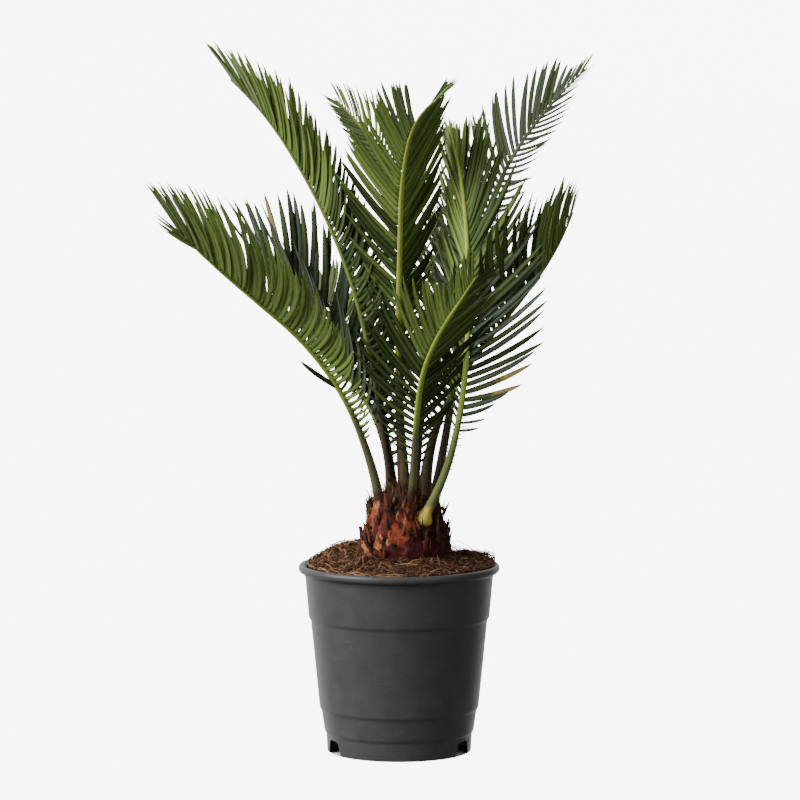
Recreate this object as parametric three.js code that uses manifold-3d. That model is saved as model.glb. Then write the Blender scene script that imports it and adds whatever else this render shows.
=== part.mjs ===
// A young sago palm (Cycas revoluta) in a grey nursery pot.
// Millimetres, +Z up. The origin is the middle of the pot's flat underside, the front is -Y.
import * as THREE from 'three';
import { mergeVertices } from 'three/addons/utils/BufferGeometryUtils.js';
import Module from 'manifold-3d';

const wasm = await Module();
wasm.setup();

// ---- driving dimensions ----

const GAP = 0.3; // clearance between separate pieces
const SLIVER = 0.03; // edges shorter than this are closed up
const WELD = 0.001; // corners closer than this are one corner

const POT = {
  height: 159,
  rimRadius: 85,
  rimBand: 7, // height of the turned-down lip
  lip: 1.6, // thickness of the lip
  wall: 1.5,
  neckRadius: 79.5, // outside, just under the lip
  footRadius: 61,
  step: 1.7, // how far the wall sets in at each of its three steps
  steps: [15.6, 35.2, 112], // heights of the steps
  stepRadii: [63.3, 67.4, 76.5], // outside, just above each step
  discRadius: 46, // the flat middle of the underside
  moat: 12.4, // height of the drain channel between the disc and the foot ring
};

const NOTCH = {
  bearings: [-156, -28, 88],
  width: 20, // at the ground
  topWidth: 13,
  height: 12,
  round: 3, // radius of its two top corners
  reach: 12, // length of the cut, a third of it inside the foot's outer radius
};

const SOIL = {
  edgeTop: 157.5, // where the mix meets the pot wall
  crownTop: 166, // beside the trunk, at the front
  heap: 7, // how much higher it is heaped up at the back left
  heapBearing: 140,
  lump: 1.1,
  seat: 162, // the flat that the trunk stands on
  seatRadius: 38.4,
};

const TRUNK = {
  x: 6, // the foot stands a little right of the pot's middle
  lean: -1.6, // the crown leans back over the middle by this much
  foot: SOIL.seat + GAP,
  crown: 222,
  // height and radius of the core, from the flat cut at ground level to the crown
  profile: [[162.3, 34], [172, 35.5], [184, 34], [196, 30.5], [212, 26.5], [219, 21]],
};

const SCALE = {
  around: 11, // old leaf bases in a ring
  rows: 4, // rings of them
  top: 214, // where they end, under the crown
  stand: 4.2, // how far a tip stands out of the core
};

const SPIKE = {
  count: 18,
  length: 17,
  radius: 2.6,
};

const RIB = {
  socket: 9, // how deep a foot sits in the crown
  footRadius: 4.2,
  bareRadius: 2.8, // where the leaflets begin
  upperRadius: 2.2, // where it begins to thin out to its tip
  upper: 0.8, // share of the rib at that place
  tipRadius: 0.8,
  sides: 4,
  spans: 9,
};

const LEAFLET = {
  perRow: 16,
  rootHalf: 1.1,
  widest: 4.4, // half of the width, at most
  thickness: 0.11, // of the width
  belly: 0.4, // where along it a leaflet is widest
  fill: 0.46, // half width as a share of the room between two leaflets
  last: 0.985, // share of the rib where they end
  handOffset: 0.15, // how far one row runs ahead of the other, in spacings
};

// Each frond leaves its foot in the crown at a bearing (counter-clockwise from +X).
// lean is the angle from upright towards the bearing, and sweep the one sideways to the left of it,
// each at even steps from foot to tip. turn twists the blade about its rib, bare is the leafless
// share of the rib, and stout how much thicker than usual its foot is.
// reach is the leaflets' length and forward their angle to the rib, at even steps along the leafy
// part, rise is how far the left and the right row stand up from flat, and curl how much of the
// forward angle a leaflet loses between root and tip. ends is where the two rows stop, and strays are
// single leaflets that stand out of line.
const FRONDS = [
  { name: 'frond_01', foot: [-17, -10, 216], bearing: 195, length: 301, bare: 0.28, stout: 1.2,
    lean: [11, 23, 38, 51, 50, 44], sweep: [-2, 3, 7, 7, 6, 5],
    turn: -12, reach: [29, 50, 78, 80, 50], forward: [98, 85, 72, 50, 16], rise: [49, 49], curl: 0.5,
    strays: [{ u: 0.09, hand: -1, rise: -80, forward: 28, reach: 42 }] },
  { name: 'frond_02', foot: [-5, 5, 219], bearing: 170, length: 383, bare: 0.3, stout: 0.9,
    lean: [8, 10, 15, 25, 33, 49], sweep: [0, -1, -1, -1, 0, 2],
    turn: 0, reach: [30, 46, 58, 60, 44], forward: [83, 69, 54, 42, 18], rise: [54, 55],
    curl: 0.45 },
  { name: 'frond_03', foot: [-8, 16, 218], bearing: 145, length: 230, bare: 0.3, stout: 1,
    lean: [5, 23, 41, 44, 45, 54], sweep: [-10, -3, 5, 3, -1, -1],
    turn: -13, reach: [50, 75, 95, 106, 76], forward: [89, 62, 29], rise: [63, 72], curl: 0.4 },
  { name: 'frond_04', foot: [5, -12, 222], bearing: 265, length: 384, bare: 0.28, stout: 1.3,
    lean: [-7, -1, 8, 23, 44, 69], sweep: [-6, -2, 2, 3, 12, 36],
    turn: 17, reach: [21, 35, 56, 77, 78, 72, 68, 51, 23], forward: [54, 52, 46, 31, 11],
    rise: [31, 44], curl: 0.3, ends: [0.8, 1] },
  { name: 'frond_05', foot: [3, 15, 220], bearing: 115, length: 368, bare: 0.35, stout: 1,
    lean: [3, 7, 13, 22, 38, 48], sweep: [4, -5, -10, -6, 13, 29],
    turn: 72, reach: [31, 54, 66, 51, 22], forward: [86, 71, 26], rise: [-10, 35], curl: 0.5 },
  { name: 'frond_06', foot: [22, -24, 204], bearing: 330, length: 337, bare: 0.25, stout: 1,
    lean: [33, 16, 6, -1, -8, -21], sweep: [-1, -3, -2, 0, 2, 0],
    turn: -91, reach: [20, 71, 90, 93, 91, 85, 78, 36, 12], forward: [74, 58, 41, 23, 10],
    rise: [36, 8], curl: 0.25 },
  { name: 'frond_07', foot: [30, 10, 218], bearing: 40, length: 434, bare: 0.4, stout: 1.05,
    lean: [15, 17, 23, 35, 48, 56], sweep: [-1, 8, 13, 10, 3, -1],
    turn: -64, reach: [48, 64, 66, 56, 29], forward: [86, 53, 13], rise: [41, 4], curl: 0.35 },
  { name: 'frond_08', foot: [22, -5, 220], bearing: 350, length: 281, bare: 0.3, stout: 1.6,
    lean: [1, 20, 36, 41, 35, 21], sweep: [2, -4, -9, -12, -12, -11],
    turn: 2, reach: [50, 84, 98, 74, 26], forward: [86, 59, 12], rise: [55, 56], curl: 0.5 },
  { name: 'frond_09', foot: [11, -24, 221], bearing: 295, length: 230, bare: 0.22, stout: 0.9,
    lean: [12, 21, 30, 40, 45, 43], sweep: [-2, -7, -7, 2, 9, 9],
    turn: 1, reach: [36, 61, 81, 80, 77, 53, 34, 33, 35], forward: [73, 55, 41, 37, 35],
    rise: [38, 9], curl: 0.35 },
  { name: 'frond_10', foot: [13, 21, 218], bearing: 75, length: 330, bare: 0.3, stout: 1,
    lean: [14, 27, 41, 55, 70, 86], sweep: [0, 0],
    turn: 0, reach: [29, 69, 84, 69, 36], forward: [86, 51, 14], rise: [45, 45], curl: 0.5 },
  { name: 'frond_11', foot: [-5, 27, 218], bearing: 110, length: 330, bare: 0.3, stout: 1,
    lean: [18, 36, 54, 70, 86, 100], sweep: [0, 0],
    turn: 0, reach: [29, 69, 84, 69, 36], forward: [86, 51, 14], rise: [45, 45], curl: 0.5 },
];

// When a leaflet would touch another frond, these changes to its rise and length are tried in turn.
const TRIES = [[0, 1], [12, 1], [-12, 1], [24, 1], [-24, 1], [0, 0.75], [18, 0.7], [-18, 0.7], [0, 0.5]];

const AROUND = 36; // segments of the pot and what fills it

// ---- helpers ----

const rad = THREE.MathUtils.degToRad;
const lerp = THREE.MathUtils.lerp;

// A closed geometry as a manifold-3d solid.
function solidOf(geometry) {
  const bare = geometry.clone();
  bare.deleteAttribute('normal');
  bare.deleteAttribute('uv');
  const merged = mergeVertices(bare, WELD);
  const corners = merged.index.array;
  const kept = [];
  for (let i = 0; i < corners.length; i += 3) {
    const [a, b, c] = [corners[i], corners[i + 1], corners[i + 2]];
    if (a !== b && b !== c && c !== a) kept.push(a, b, c);
  }
  return new wasm.Manifold(new wasm.Mesh({
    numProp: 3,
    vertProperties: new Float32Array(merged.attributes.position.array),
    triVerts: new Uint32Array(kept),
  }));
}

// A solid back as a geometry.
function geometryOf(solid) {
  const mesh = solid.getMesh();
  const geometry = new THREE.BufferGeometry();
  geometry.setAttribute('position', new THREE.BufferAttribute(new Float32Array(mesh.vertProperties), 3));
  geometry.setIndex(new THREE.BufferAttribute(new Uint32Array(mesh.triVerts), 1));
  geometry.computeVertexNormals();
  return geometry;
}

// The main closed body of a solid, with no slivers, scraps or sealed hollows.
function cleaned(solid) {
  let body = solid.simplify(SLIVER);
  for (let pass = 0; pass < 2; pass += 1) {
    const bodies = solidOf(geometryOf(body)).decompose();
    body = bodies.reduce((best, other) => (other.volume() > best.volume() ? other : best));
  }
  return body;
}

// Moves every vertex of a geometry to where the function says.
function mapVertices(geometry, place) {
  const position = geometry.attributes.position;
  const vertex = new THREE.Vector3();
  for (let i = 0; i < position.count; i += 1) {
    vertex.fromBufferAttribute(position, i);
    const moved = place(vertex);
    position.setXYZ(i, moved.x, moved.y, moved.z);
  }
  return geometry;
}

// A profile of [radius, height] points turned about Z.
function turned(points, segments = AROUND) {
  const profile = points.map(([r, z]) => new THREE.Vector2(r, z));
  return new THREE.LatheGeometry(profile, segments).rotateX(Math.PI / 2);
}

// The direction at a bearing, with an optional rise from level.
function heading(bearing, rise = 0) {
  const level = Math.cos(rad(rise));
  return new THREE.Vector3(level * Math.cos(rad(bearing)), level * Math.sin(rad(bearing)), Math.sin(rad(rise)));
}

// Value at t of a list of evenly spaced values.
function along(values, t) {
  const at = THREE.MathUtils.clamp(t, 0, 1) * (values.length - 1);
  const i = Math.min(Math.floor(at), values.length - 2);
  return lerp(values[i], values[i + 1], at - i);
}

// A seeded run of numbers from 0 to 1.
function seeded(seed) {
  let state = seed;
  return () => {
    state = (state + 0x6d2b79f5) | 0;
    let mixed = Math.imul(state ^ (state >>> 15), 1 | state);
    mixed = (mixed + Math.imul(mixed ^ (mixed >>> 7), 61 | mixed)) ^ mixed;
    return ((mixed ^ (mixed >>> 14)) >>> 0) / 4294967296;
  };
}

// ---- pot ----

// Outside of the wall from the foot to the neck: [radius, height], with a set-in step at each height.
function wallOutline() {
  const outline = [[POT.footRadius, 1]];
  POT.steps.forEach((height, i) => {
    outline.push([POT.stepRadii[i] - POT.step, height]);
    outline.push([POT.stepRadii[i], height + POT.step]);
  });
  outline.push([POT.neckRadius, POT.height - POT.rimBand - 2]);
  return outline;
}

function makePot() {
  const { height, rimRadius, rimBand, lip, wall, neckRadius, footRadius, discRadius, moat } = POT;
  const outer = wallOutline();
  const inner = outer.slice(1).reverse().map(([r, z]) => [r - wall, z]);
  const underside = [
    [0, 0], [discRadius, 0], [discRadius + 2, moat], [footRadius - wall, moat],
    [footRadius - wall, 0], [footRadius - 1, 0],
  ];
  const rim = [
    [neckRadius, height - lip - 1.6], [rimRadius - lip, height - lip - 1.6], [rimRadius - lip, height - rimBand],
    [rimRadius, height - rimBand], [rimRadius, height - 2.4], [rimRadius - 0.7, height - 0.8],
    [rimRadius - 2.2, height], [rimRadius - 3.8, height - 0.4], [neckRadius - wall, height - 3],
  ];
  const floor = [[outer[1][0] - wall, moat + wall], [discRadius + 1, moat + wall], [discRadius - 1, wall], [0, wall]];
  let solid = solidOf(turned([...underside, ...outer, ...rim, ...inner, ...floor]));
  for (const bearing of NOTCH.bearings) {
    solid = solid.subtract(notchCutter(bearing));
  }
  return solid;
}

// A gate that narrows towards its rounded top, pushed out through the foot ring.
function notchCutter(bearing) {
  const { width, topWidth, height, round } = NOTCH;
  const gate = new THREE.Shape();
  gate.moveTo(-width / 2, -1);
  gate.lineTo(width / 2, -1);
  gate.lineTo(topWidth / 2, height - round);
  gate.quadraticCurveTo(topWidth / 2, height, topWidth / 2 - round, height);
  gate.lineTo(round - topWidth / 2, height);
  gate.quadraticCurveTo(-topWidth / 2, height, -topWidth / 2, height - round);
  const cutter = new THREE.ExtrudeGeometry(gate, { depth: NOTCH.reach, bevelEnabled: false, curveSegments: 4 });
  cutter.rotateX(Math.PI / 2);
  cutter.rotateZ(rad(bearing + 90));
  const start = heading(bearing).multiplyScalar(POT.footRadius - NOTCH.reach / 3);
  cutter.translate(start.x, start.y, 0);
  return solidOf(cutter);
}

// ---- potting mix ----

// Height of the mix at a place inside the pot.
function soilHeight(x, y) {
  const inner = POT.neckRadius - POT.wall;
  const out = Math.min(Math.hypot(x, y) / inner, 1);
  const share = THREE.MathUtils.smoothstep(1 - out, 0, 0.55);
  const toHeap = heading(SOIL.heapBearing).dot(new THREE.Vector3(x, y, 0)) / inner;
  const heap = SOIL.heap * Math.max(0, toHeap) * 1.8 * Math.min(1, 4 * (1 - out));
  const lumps = Math.sin(x * 0.21 + 1.3) * Math.cos(y * 0.17) + 0.6 * Math.sin((x - y) * 0.33);
  return lerp(SOIL.edgeTop, SOIL.crownTop, share) + heap + SOIL.lump * lumps * Math.min(1, 6 * (1 - out));
}

function makeSoil() {
  const inside = wallOutline().slice(1).map(([r, z]) => [r - POT.wall - GAP, z]);
  const bottom = [[0, POT.wall + GAP], [POT.discRadius - 1, POT.wall + GAP],
    [POT.discRadius + 1 - GAP, POT.moat + POT.wall + GAP], [inside[0][0], POT.moat + POT.wall + GAP]];
  const edge = POT.neckRadius - POT.wall - GAP;
  const rings = 7;
  const top = [];
  for (let i = 0; i <= rings; i += 1) {
    top.push([edge * (1 - i / rings), SOIL.edgeTop + 1]);
  }
  const body = turned([...bottom, ...inside, ...top]);
  mapVertices(body, (v) => (v.z > SOIL.edgeTop ? v.setZ(soilHeight(v.x, v.y)) : v));
  const depth = 40;
  const seat = new THREE.CylinderGeometry(SOIL.seatRadius, SOIL.seatRadius, depth, AROUND);
  seat.rotateX(Math.PI / 2);
  seat.translate(TRUNK.x, 0, SOIL.seat + depth / 2);
  return solidOf(body).subtract(solidOf(seat));
}

// ---- trunk ----

// Middle of the trunk at a height.
function trunkMiddle(z) {
  const up = (z - TRUNK.foot) / (TRUNK.crown - TRUNK.foot);
  return new THREE.Vector3(TRUNK.x + TRUNK.lean * up, 0, z);
}

function trunkRadius(z) {
  const profile = TRUNK.profile;
  for (let i = 1; i < profile.length; i += 1) {
    if (z < profile[i][0]) {
      const [low, high] = [profile[i - 1], profile[i]];
      return lerp(low[1], high[1], (z - low[0]) / (high[0] - low[0]));
    }
  }
  return 0;
}

// A point at a bearing and height, a given way out of the core's surface.
function onTrunk(bearing, z, out) {
  return trunkMiddle(z).addScaledVector(heading(bearing), trunkRadius(z) + out);
}

// How far the old leaf bases stand out at a place: each is a shield that rises to its tip.
function scaleRelief(bearing, z) {
  const climb = (z - TRUNK.foot) / (SCALE.top - TRUNK.foot) * SCALE.rows;
  if (climb <= 0 || climb >= SCALE.rows) return 0;
  const row = Math.floor(climb);
  const rise = climb - row;
  const turn = bearing / 360 * SCALE.around + (row % 2) / 2;
  const aside = Math.abs(2 * (turn - Math.floor(turn)) - 1);
  const width = 1 - 0.55 * rise;
  return SCALE.stand * Math.max(0, 1 - aside / width) * (0.25 + 0.75 * rise);
}

// A dry pointed bract, from its root in the core towards a direction.
function makeSpike(root, direction, length, radius) {
  const cone = new THREE.CylinderGeometry(0, radius, length, 4).translate(0, length / 2, 0);
  const turn = new THREE.Quaternion().setFromUnitVectors(new THREE.Vector3(0, 1, 0), direction.clone().normalize());
  return solidOf(cone.applyQuaternion(turn).translate(root.x, root.y, root.z));
}

function makeTrunk(sleeves) {
  const levels = [TRUNK.foot];
  for (let row = 0; row < SCALE.rows; row += 1) {
    for (const rise of [0.05, 0.95]) {
      levels.push(lerp(TRUNK.foot, SCALE.top, (row + rise) / SCALE.rows));
    }
  }
  levels.push(219);
  const profile = [[0, TRUNK.foot], ...levels.map((z) => [trunkRadius(z), z]), [0, TRUNK.crown]];
  const core = turned(profile, 4 * SCALE.around);
  mapVertices(core, (v) => {
    const bearing = THREE.MathUtils.radToDeg(Math.atan2(v.y, v.x)) + 360;
    const out = Math.hypot(v.x, v.y);
    const share = out > 0 ? 1 + scaleRelief(bearing, v.z) / out : 1;
    return v.set(v.x * share + trunkMiddle(v.z).x, v.y * share, v.z);
  });
  const pieces = [solidOf(core)];
  const random = seeded(7);
  for (let i = 0; i < SPIKE.count; i += 1) {
    const bearing = (i + 0.7 * random()) * 360 / SPIKE.count;
    const z = lerp(200, 214, random());
    const root = onTrunk(bearing, z, -2);
    const direction = heading(bearing, lerp(50, 78, random()));
    pieces.push(makeSpike(root, direction, SPIKE.length * lerp(0.7, 1.2, random()), SPIKE.radius));
  }
  const stub = onTrunk(178, 172, 1);
  pieces.push(makeSpike(stub, heading(178, 72), 27, 2.6));
  const whole = wasm.Manifold.union(pieces);
  return whole.subtract(wasm.Manifold.union(sleeves));
}

// ---- fronds ----

// Frames along a frond's rib: place, direction, the way its blade faces, and its left.
function ribFrames(frond) {
  const steps = 80;
  const out = heading(frond.bearing);
  const side = heading(frond.bearing + 90);
  const up = new THREE.Vector3(0, 0, 1);
  const frames = [];
  const place = new THREE.Vector3(...frond.foot);
  for (let i = 0; i <= steps; i += 1) {
    const t = i / steps;
    const lean = rad(along(frond.lean, t));
    const sweep = rad(along(frond.sweep, t));
    const direction = out.clone().multiplyScalar(Math.sin(lean));
    direction.addScaledVector(side, Math.sin(sweep)).addScaledVector(up, Math.cos(lean)).normalize();
    const face = out.clone().multiplyScalar(-Math.cos(lean)).addScaledVector(up, Math.sin(lean));
    face.addScaledVector(direction, -face.dot(direction)).normalize();
    face.applyAxisAngle(direction, rad(frond.turn));
    const left = direction.clone().cross(face);
    frames.push({ place: place.clone(), direction, face, left });
    place.addScaledVector(direction, frond.length / steps);
  }
  return frames;
}

// The frame at a share t of the rib. Below 0 the rib runs on straight into its socket.
function frameAt(frames, t, length) {
  if (t < 0) {
    const first = frames[0];
    return { ...first, place: first.place.clone().addScaledVector(first.direction, t * length) };
  }
  const at = Math.min(t, 1) * (frames.length - 1);
  const i = Math.min(Math.floor(at), frames.length - 2);
  const mix = (key) => frames[i][key].clone().lerp(frames[i + 1][key], at - i);
  return { place: mix('place'), direction: mix('direction'), face: mix('face'), left: mix('left') };
}

function ribRadius(frond, t) {
  if (t < frond.bare) {
    const up = Math.max(t, 0) / frond.bare;
    return lerp(RIB.footRadius, RIB.bareRadius, up) * lerp(frond.stout, 1, up);
  }
  if (t < RIB.upper) {
    return lerp(RIB.bareRadius, RIB.upperRadius, (t - frond.bare) / (RIB.upper - frond.bare));
  }
  return lerp(RIB.upperRadius, RIB.tipRadius, (t - RIB.upper) / (1 - RIB.upper));
}

// A tapering limb along the rib from share t0 to t1, fatter by extra.
function makeLimb(frond, frames, t0, t1, extra) {
  const limb = new THREE.CylinderGeometry(1, 1, 1, RIB.sides, RIB.spans);
  mapVertices(limb, (v) => {
    const t = lerp(t0, t1, v.y + 0.5);
    const frame = frameAt(frames, t, frond.length);
    const radius = ribRadius(frond, t) + extra;
    const across = frame.left.clone().multiplyScalar(v.x * radius).addScaledVector(frame.face, v.z * radius);
    return frame.place.clone().add(across);
  });
  return solidOf(limb);
}

function makeRib(frond, frames) {
  return makeLimb(frond, frames, -RIB.socket / frond.length, 1, 0);
}

// The room a rib's foot needs in the crown.
function makeSleeve(frond, frames) {
  return makeLimb(frond, frames, -(RIB.socket + GAP) / frond.length, 1, 1.5 * GAP);
}

// One leaflet: widest at its belly, curved towards the frond's tip, its root sunk in the rib.
function makeLeaflet(frond, frames, u, hand, riseChange, lengthShare) {
  const t = lerp(frond.bare, LEAFLET.last, u);
  const frame = frameAt(frames, t, frond.length);
  const isStray = (other) => other.hand === hand && Math.abs(other.u - u) < 0.5 / LEAFLET.perRow;
  const stray = (frond.strays ?? []).find(isStray);
  const rise = rad((stray ? stray.rise : frond.rise[hand > 0 ? 0 : 1]) + riseChange);
  const away = frame.left.clone().multiplyScalar(hand * Math.cos(rise)).addScaledVector(frame.face, Math.sin(rise));
  const forward = rad(stray ? stray.forward : along(frond.forward, u));
  const length = (stray ? stray.reach : along(frond.reach, u)) * lengthShare;
  const runAt = (w) => {
    const angle = forward * (1 - frond.curl * w);
    return frame.direction.clone().multiplyScalar(Math.cos(angle)).addScaledVector(away, Math.sin(angle));
  };
  const room = frond.length * (1 - frond.bare) / LEAFLET.perRow * Math.sin(forward);
  const half = Math.min(LEAFLET.widest, LEAFLET.fill * room + 0.6);
  const belly = frame.place.clone().addScaledVector(runAt(LEAFLET.belly / 2), length * LEAFLET.belly);
  const tip = belly.clone().addScaledVector(runAt((1 + LEAFLET.belly) / 2), length * (1 - LEAFLET.belly));
  const blade = new THREE.CylinderGeometry(0, 1, 1, 4, 2);
  const stations = [
    { at: frame.place, half: LEAFLET.rootHalf, w: 0 },
    { at: belly, half, w: LEAFLET.belly },
    { at: tip, half: 0, w: 1 },
  ];
  return solidOf(mapVertices(blade, (v) => {
    const station = stations[Math.round((v.y + 0.5) * 2)];
    const run = runAt(station.w);
    const normal = frame.direction.clone().cross(away).normalize();
    const across = run.clone().cross(normal).normalize();
    const size = station.half / Math.max(Math.hypot(v.x, v.z), 1e-9);
    const thick = Math.max(LEAFLET.thickness * half * 2, length * 0.0125);
    return station.at.clone()
      .addScaledVector(across, v.x * size)
      .addScaledVector(normal, station.half > 0 ? Math.sign(Math.round(v.z)) * thick / 2 : 0);
  }));
}

// Whether a leaflet stays clear of every piece that isn't its own frond's.
function isClear(leaflet, others) {
  const box = leaflet.boundingBox();
  return others.every((other) => {
    for (let k = 0; k < 3; k += 1) {
      if (box.min[k] > other.box.max[k] + GAP || box.max[k] < other.box.min[k] - GAP) return true;
    }
    return leaflet.minGap(other.solid, 1) >= GAP;
  });
}

// ---- the plant ----

const pot = makePot();
const soil = makeSoil();
const grown = FRONDS.map((frond) => {
  const frames = ribFrames(frond);
  return { frond, frames, rib: makeRib(frond, frames), leaflets: [] };
});
const trunk = makeTrunk(grown.map(({ frond, frames }) => makeSleeve(frond, frames)));

const asPiece = (solid, owner) => ({ solid, owner, box: solid.boundingBox() });
const pieces = [asPiece(trunk, 'trunk'), asPiece(soil, 'soil'), asPiece(pot, 'pot')];
for (const { frond, rib } of grown) {
  pieces.push(asPiece(rib, frond.name));
}
for (let i = 0; i < LEAFLET.perRow; i += 1) {
  for (const plant of grown) {
    const others = pieces.filter((piece) => piece.owner !== plant.frond.name);
    for (const hand of [-1, 1]) {
      const u = (i + 0.5 + hand * LEAFLET.handOffset) / LEAFLET.perRow;
      if (plant.frond.ends && u > plant.frond.ends[hand > 0 ? 0 : 1]) continue;
      for (const [riseChange, lengthShare] of TRIES) {
        const leaflet = makeLeaflet(plant.frond, plant.frames, u, hand, riseChange, lengthShare);
        if (isClear(leaflet, others)) {
          plant.leaflets.push(leaflet);
          pieces.push(asPiece(leaflet, plant.frond.name));
          break;
        }
      }
    }
  }
}

const MATERIALS = {
  plastic: new THREE.MeshStandardMaterial({ color: 0x4a4d50, roughness: 0.5, metalness: 0 }),
  coir: new THREE.MeshStandardMaterial({ color: 0x6b4a34, roughness: 0.95, metalness: 0 }),
  bark: new THREE.MeshStandardMaterial({ color: 0x7a3b2c, roughness: 0.8, metalness: 0 }),
  leaf: new THREE.MeshStandardMaterial({ color: 0x3f5f2e, roughness: 0.55, metalness: 0 }),
};

const plantInPot = new THREE.Group();

function addPart(name, solid, material) {
  const mesh = new THREE.Mesh(geometryOf(cleaned(solid)), material);
  mesh.name = name;
  plantInPot.add(mesh);
}

addPart('pot', pot, MATERIALS.plastic);
addPart('soil', soil, MATERIALS.coir);
addPart('trunk', trunk, MATERIALS.bark);
for (const { frond, rib, leaflets } of grown) {
  addPart(frond.name, wasm.Manifold.union([rib, ...leaflets]), MATERIALS.leaf);
}

export default plantInPot;
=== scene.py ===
# A young sago palm (Cycas revoluta) in a grey nursery pot. Metres, +Z up, the front is -Y.
import math
import random

import bpy
import numpy as np
from mathutils import Matrix, Vector, noise


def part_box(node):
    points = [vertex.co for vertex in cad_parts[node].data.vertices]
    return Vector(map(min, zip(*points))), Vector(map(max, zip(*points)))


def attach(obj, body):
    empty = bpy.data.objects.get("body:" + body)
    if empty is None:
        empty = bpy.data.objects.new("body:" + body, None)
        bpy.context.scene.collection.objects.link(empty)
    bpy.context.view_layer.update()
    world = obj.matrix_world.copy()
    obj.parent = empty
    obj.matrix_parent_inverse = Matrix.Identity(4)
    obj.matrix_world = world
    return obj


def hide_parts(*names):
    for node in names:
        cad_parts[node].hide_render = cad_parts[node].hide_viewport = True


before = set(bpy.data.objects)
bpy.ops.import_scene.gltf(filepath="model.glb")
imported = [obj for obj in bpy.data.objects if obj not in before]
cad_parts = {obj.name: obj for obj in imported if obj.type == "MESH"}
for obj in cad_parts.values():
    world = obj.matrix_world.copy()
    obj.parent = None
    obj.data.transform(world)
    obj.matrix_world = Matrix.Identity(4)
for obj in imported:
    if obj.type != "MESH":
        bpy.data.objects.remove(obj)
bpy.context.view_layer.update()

bl_info = {
    "name": "Potted Sago Palm",
    "version": (1, 0, 0),
    "blender": (4, 5, 0),
    "location": "View3D > Sidebar > Sago Palm",
    "description": "Builds a young sago palm in its nursery pot, with its stage",
    "category": "Add Mesh",
}

# Pieces are worked out in millimetres and degrees, and become metres when they are built.
MM = 0.001
POT_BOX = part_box("pot")
PATTERN_MAP = "across_along"  # the map that patterns on leaflets, scales and ribs follow
BAKE_MAP = "OFBake"  # the same map with a column for each finish

# The fronds grow by the rule of the solids. Each leaves its foot in the crown at a bearing
# (counter-clockwise from +X). lean is the angle from upright towards the bearing, and sweep the one
# sideways to the left of it, each at even steps from foot to tip. turn twists the blade about its rib,
# bare is the leafless share of the rib, and stout how much thicker than usual its foot is. reach is
# the leaflets' length and forward their angle to the rib, at even steps along the leafy part, and rise
# is how far the left and the right row stand up from flat. curl is how much of the forward angle a
# leaflet loses between root and tip, ends where the left and the right row stop, spacing how much
# wider than usual the leaflets stand, crowding how much closer towards the tip, ragged how much more
# uneven they are than usual, and basal how many small ones grow below the leafy part. blade is half of
# a leaflet's width, and fine how much narrower the last ones are. strays are single leaflets that
# stand out of line: share, row, rise, forward angle and length. odd gives single ones a finish of
# their own, counted from the first of the leafy part, right row first. bulb is how far the foot
# swells, stalk names the finish of the rib, and tones those of the left and the right row up to a
# share of the leafy part. PLAIN_FROND holds what a frond has where its own line gives nothing else.
# The tones are lighter and darker greens, dealt out by how light falls on each row: painted light and
# shade.
PLAIN_FROND = dict(
    length=330, bare=0.3, stout=1, sweep=(0, 0), turn=0, reach=(29, 69, 84, 69, 36),
    forward=(86, 51, 14), rise=(45, 45), curl=0.5, ends=(1, 1), spacing=1, crowding=0.3, ragged=1,
    basal=6, blade=(2.3, 2.3), fine=0.28, strays=(), odd={}, bulb=1.2, stalk="brown",
    tones=((1, "mid", "mid"),))
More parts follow.
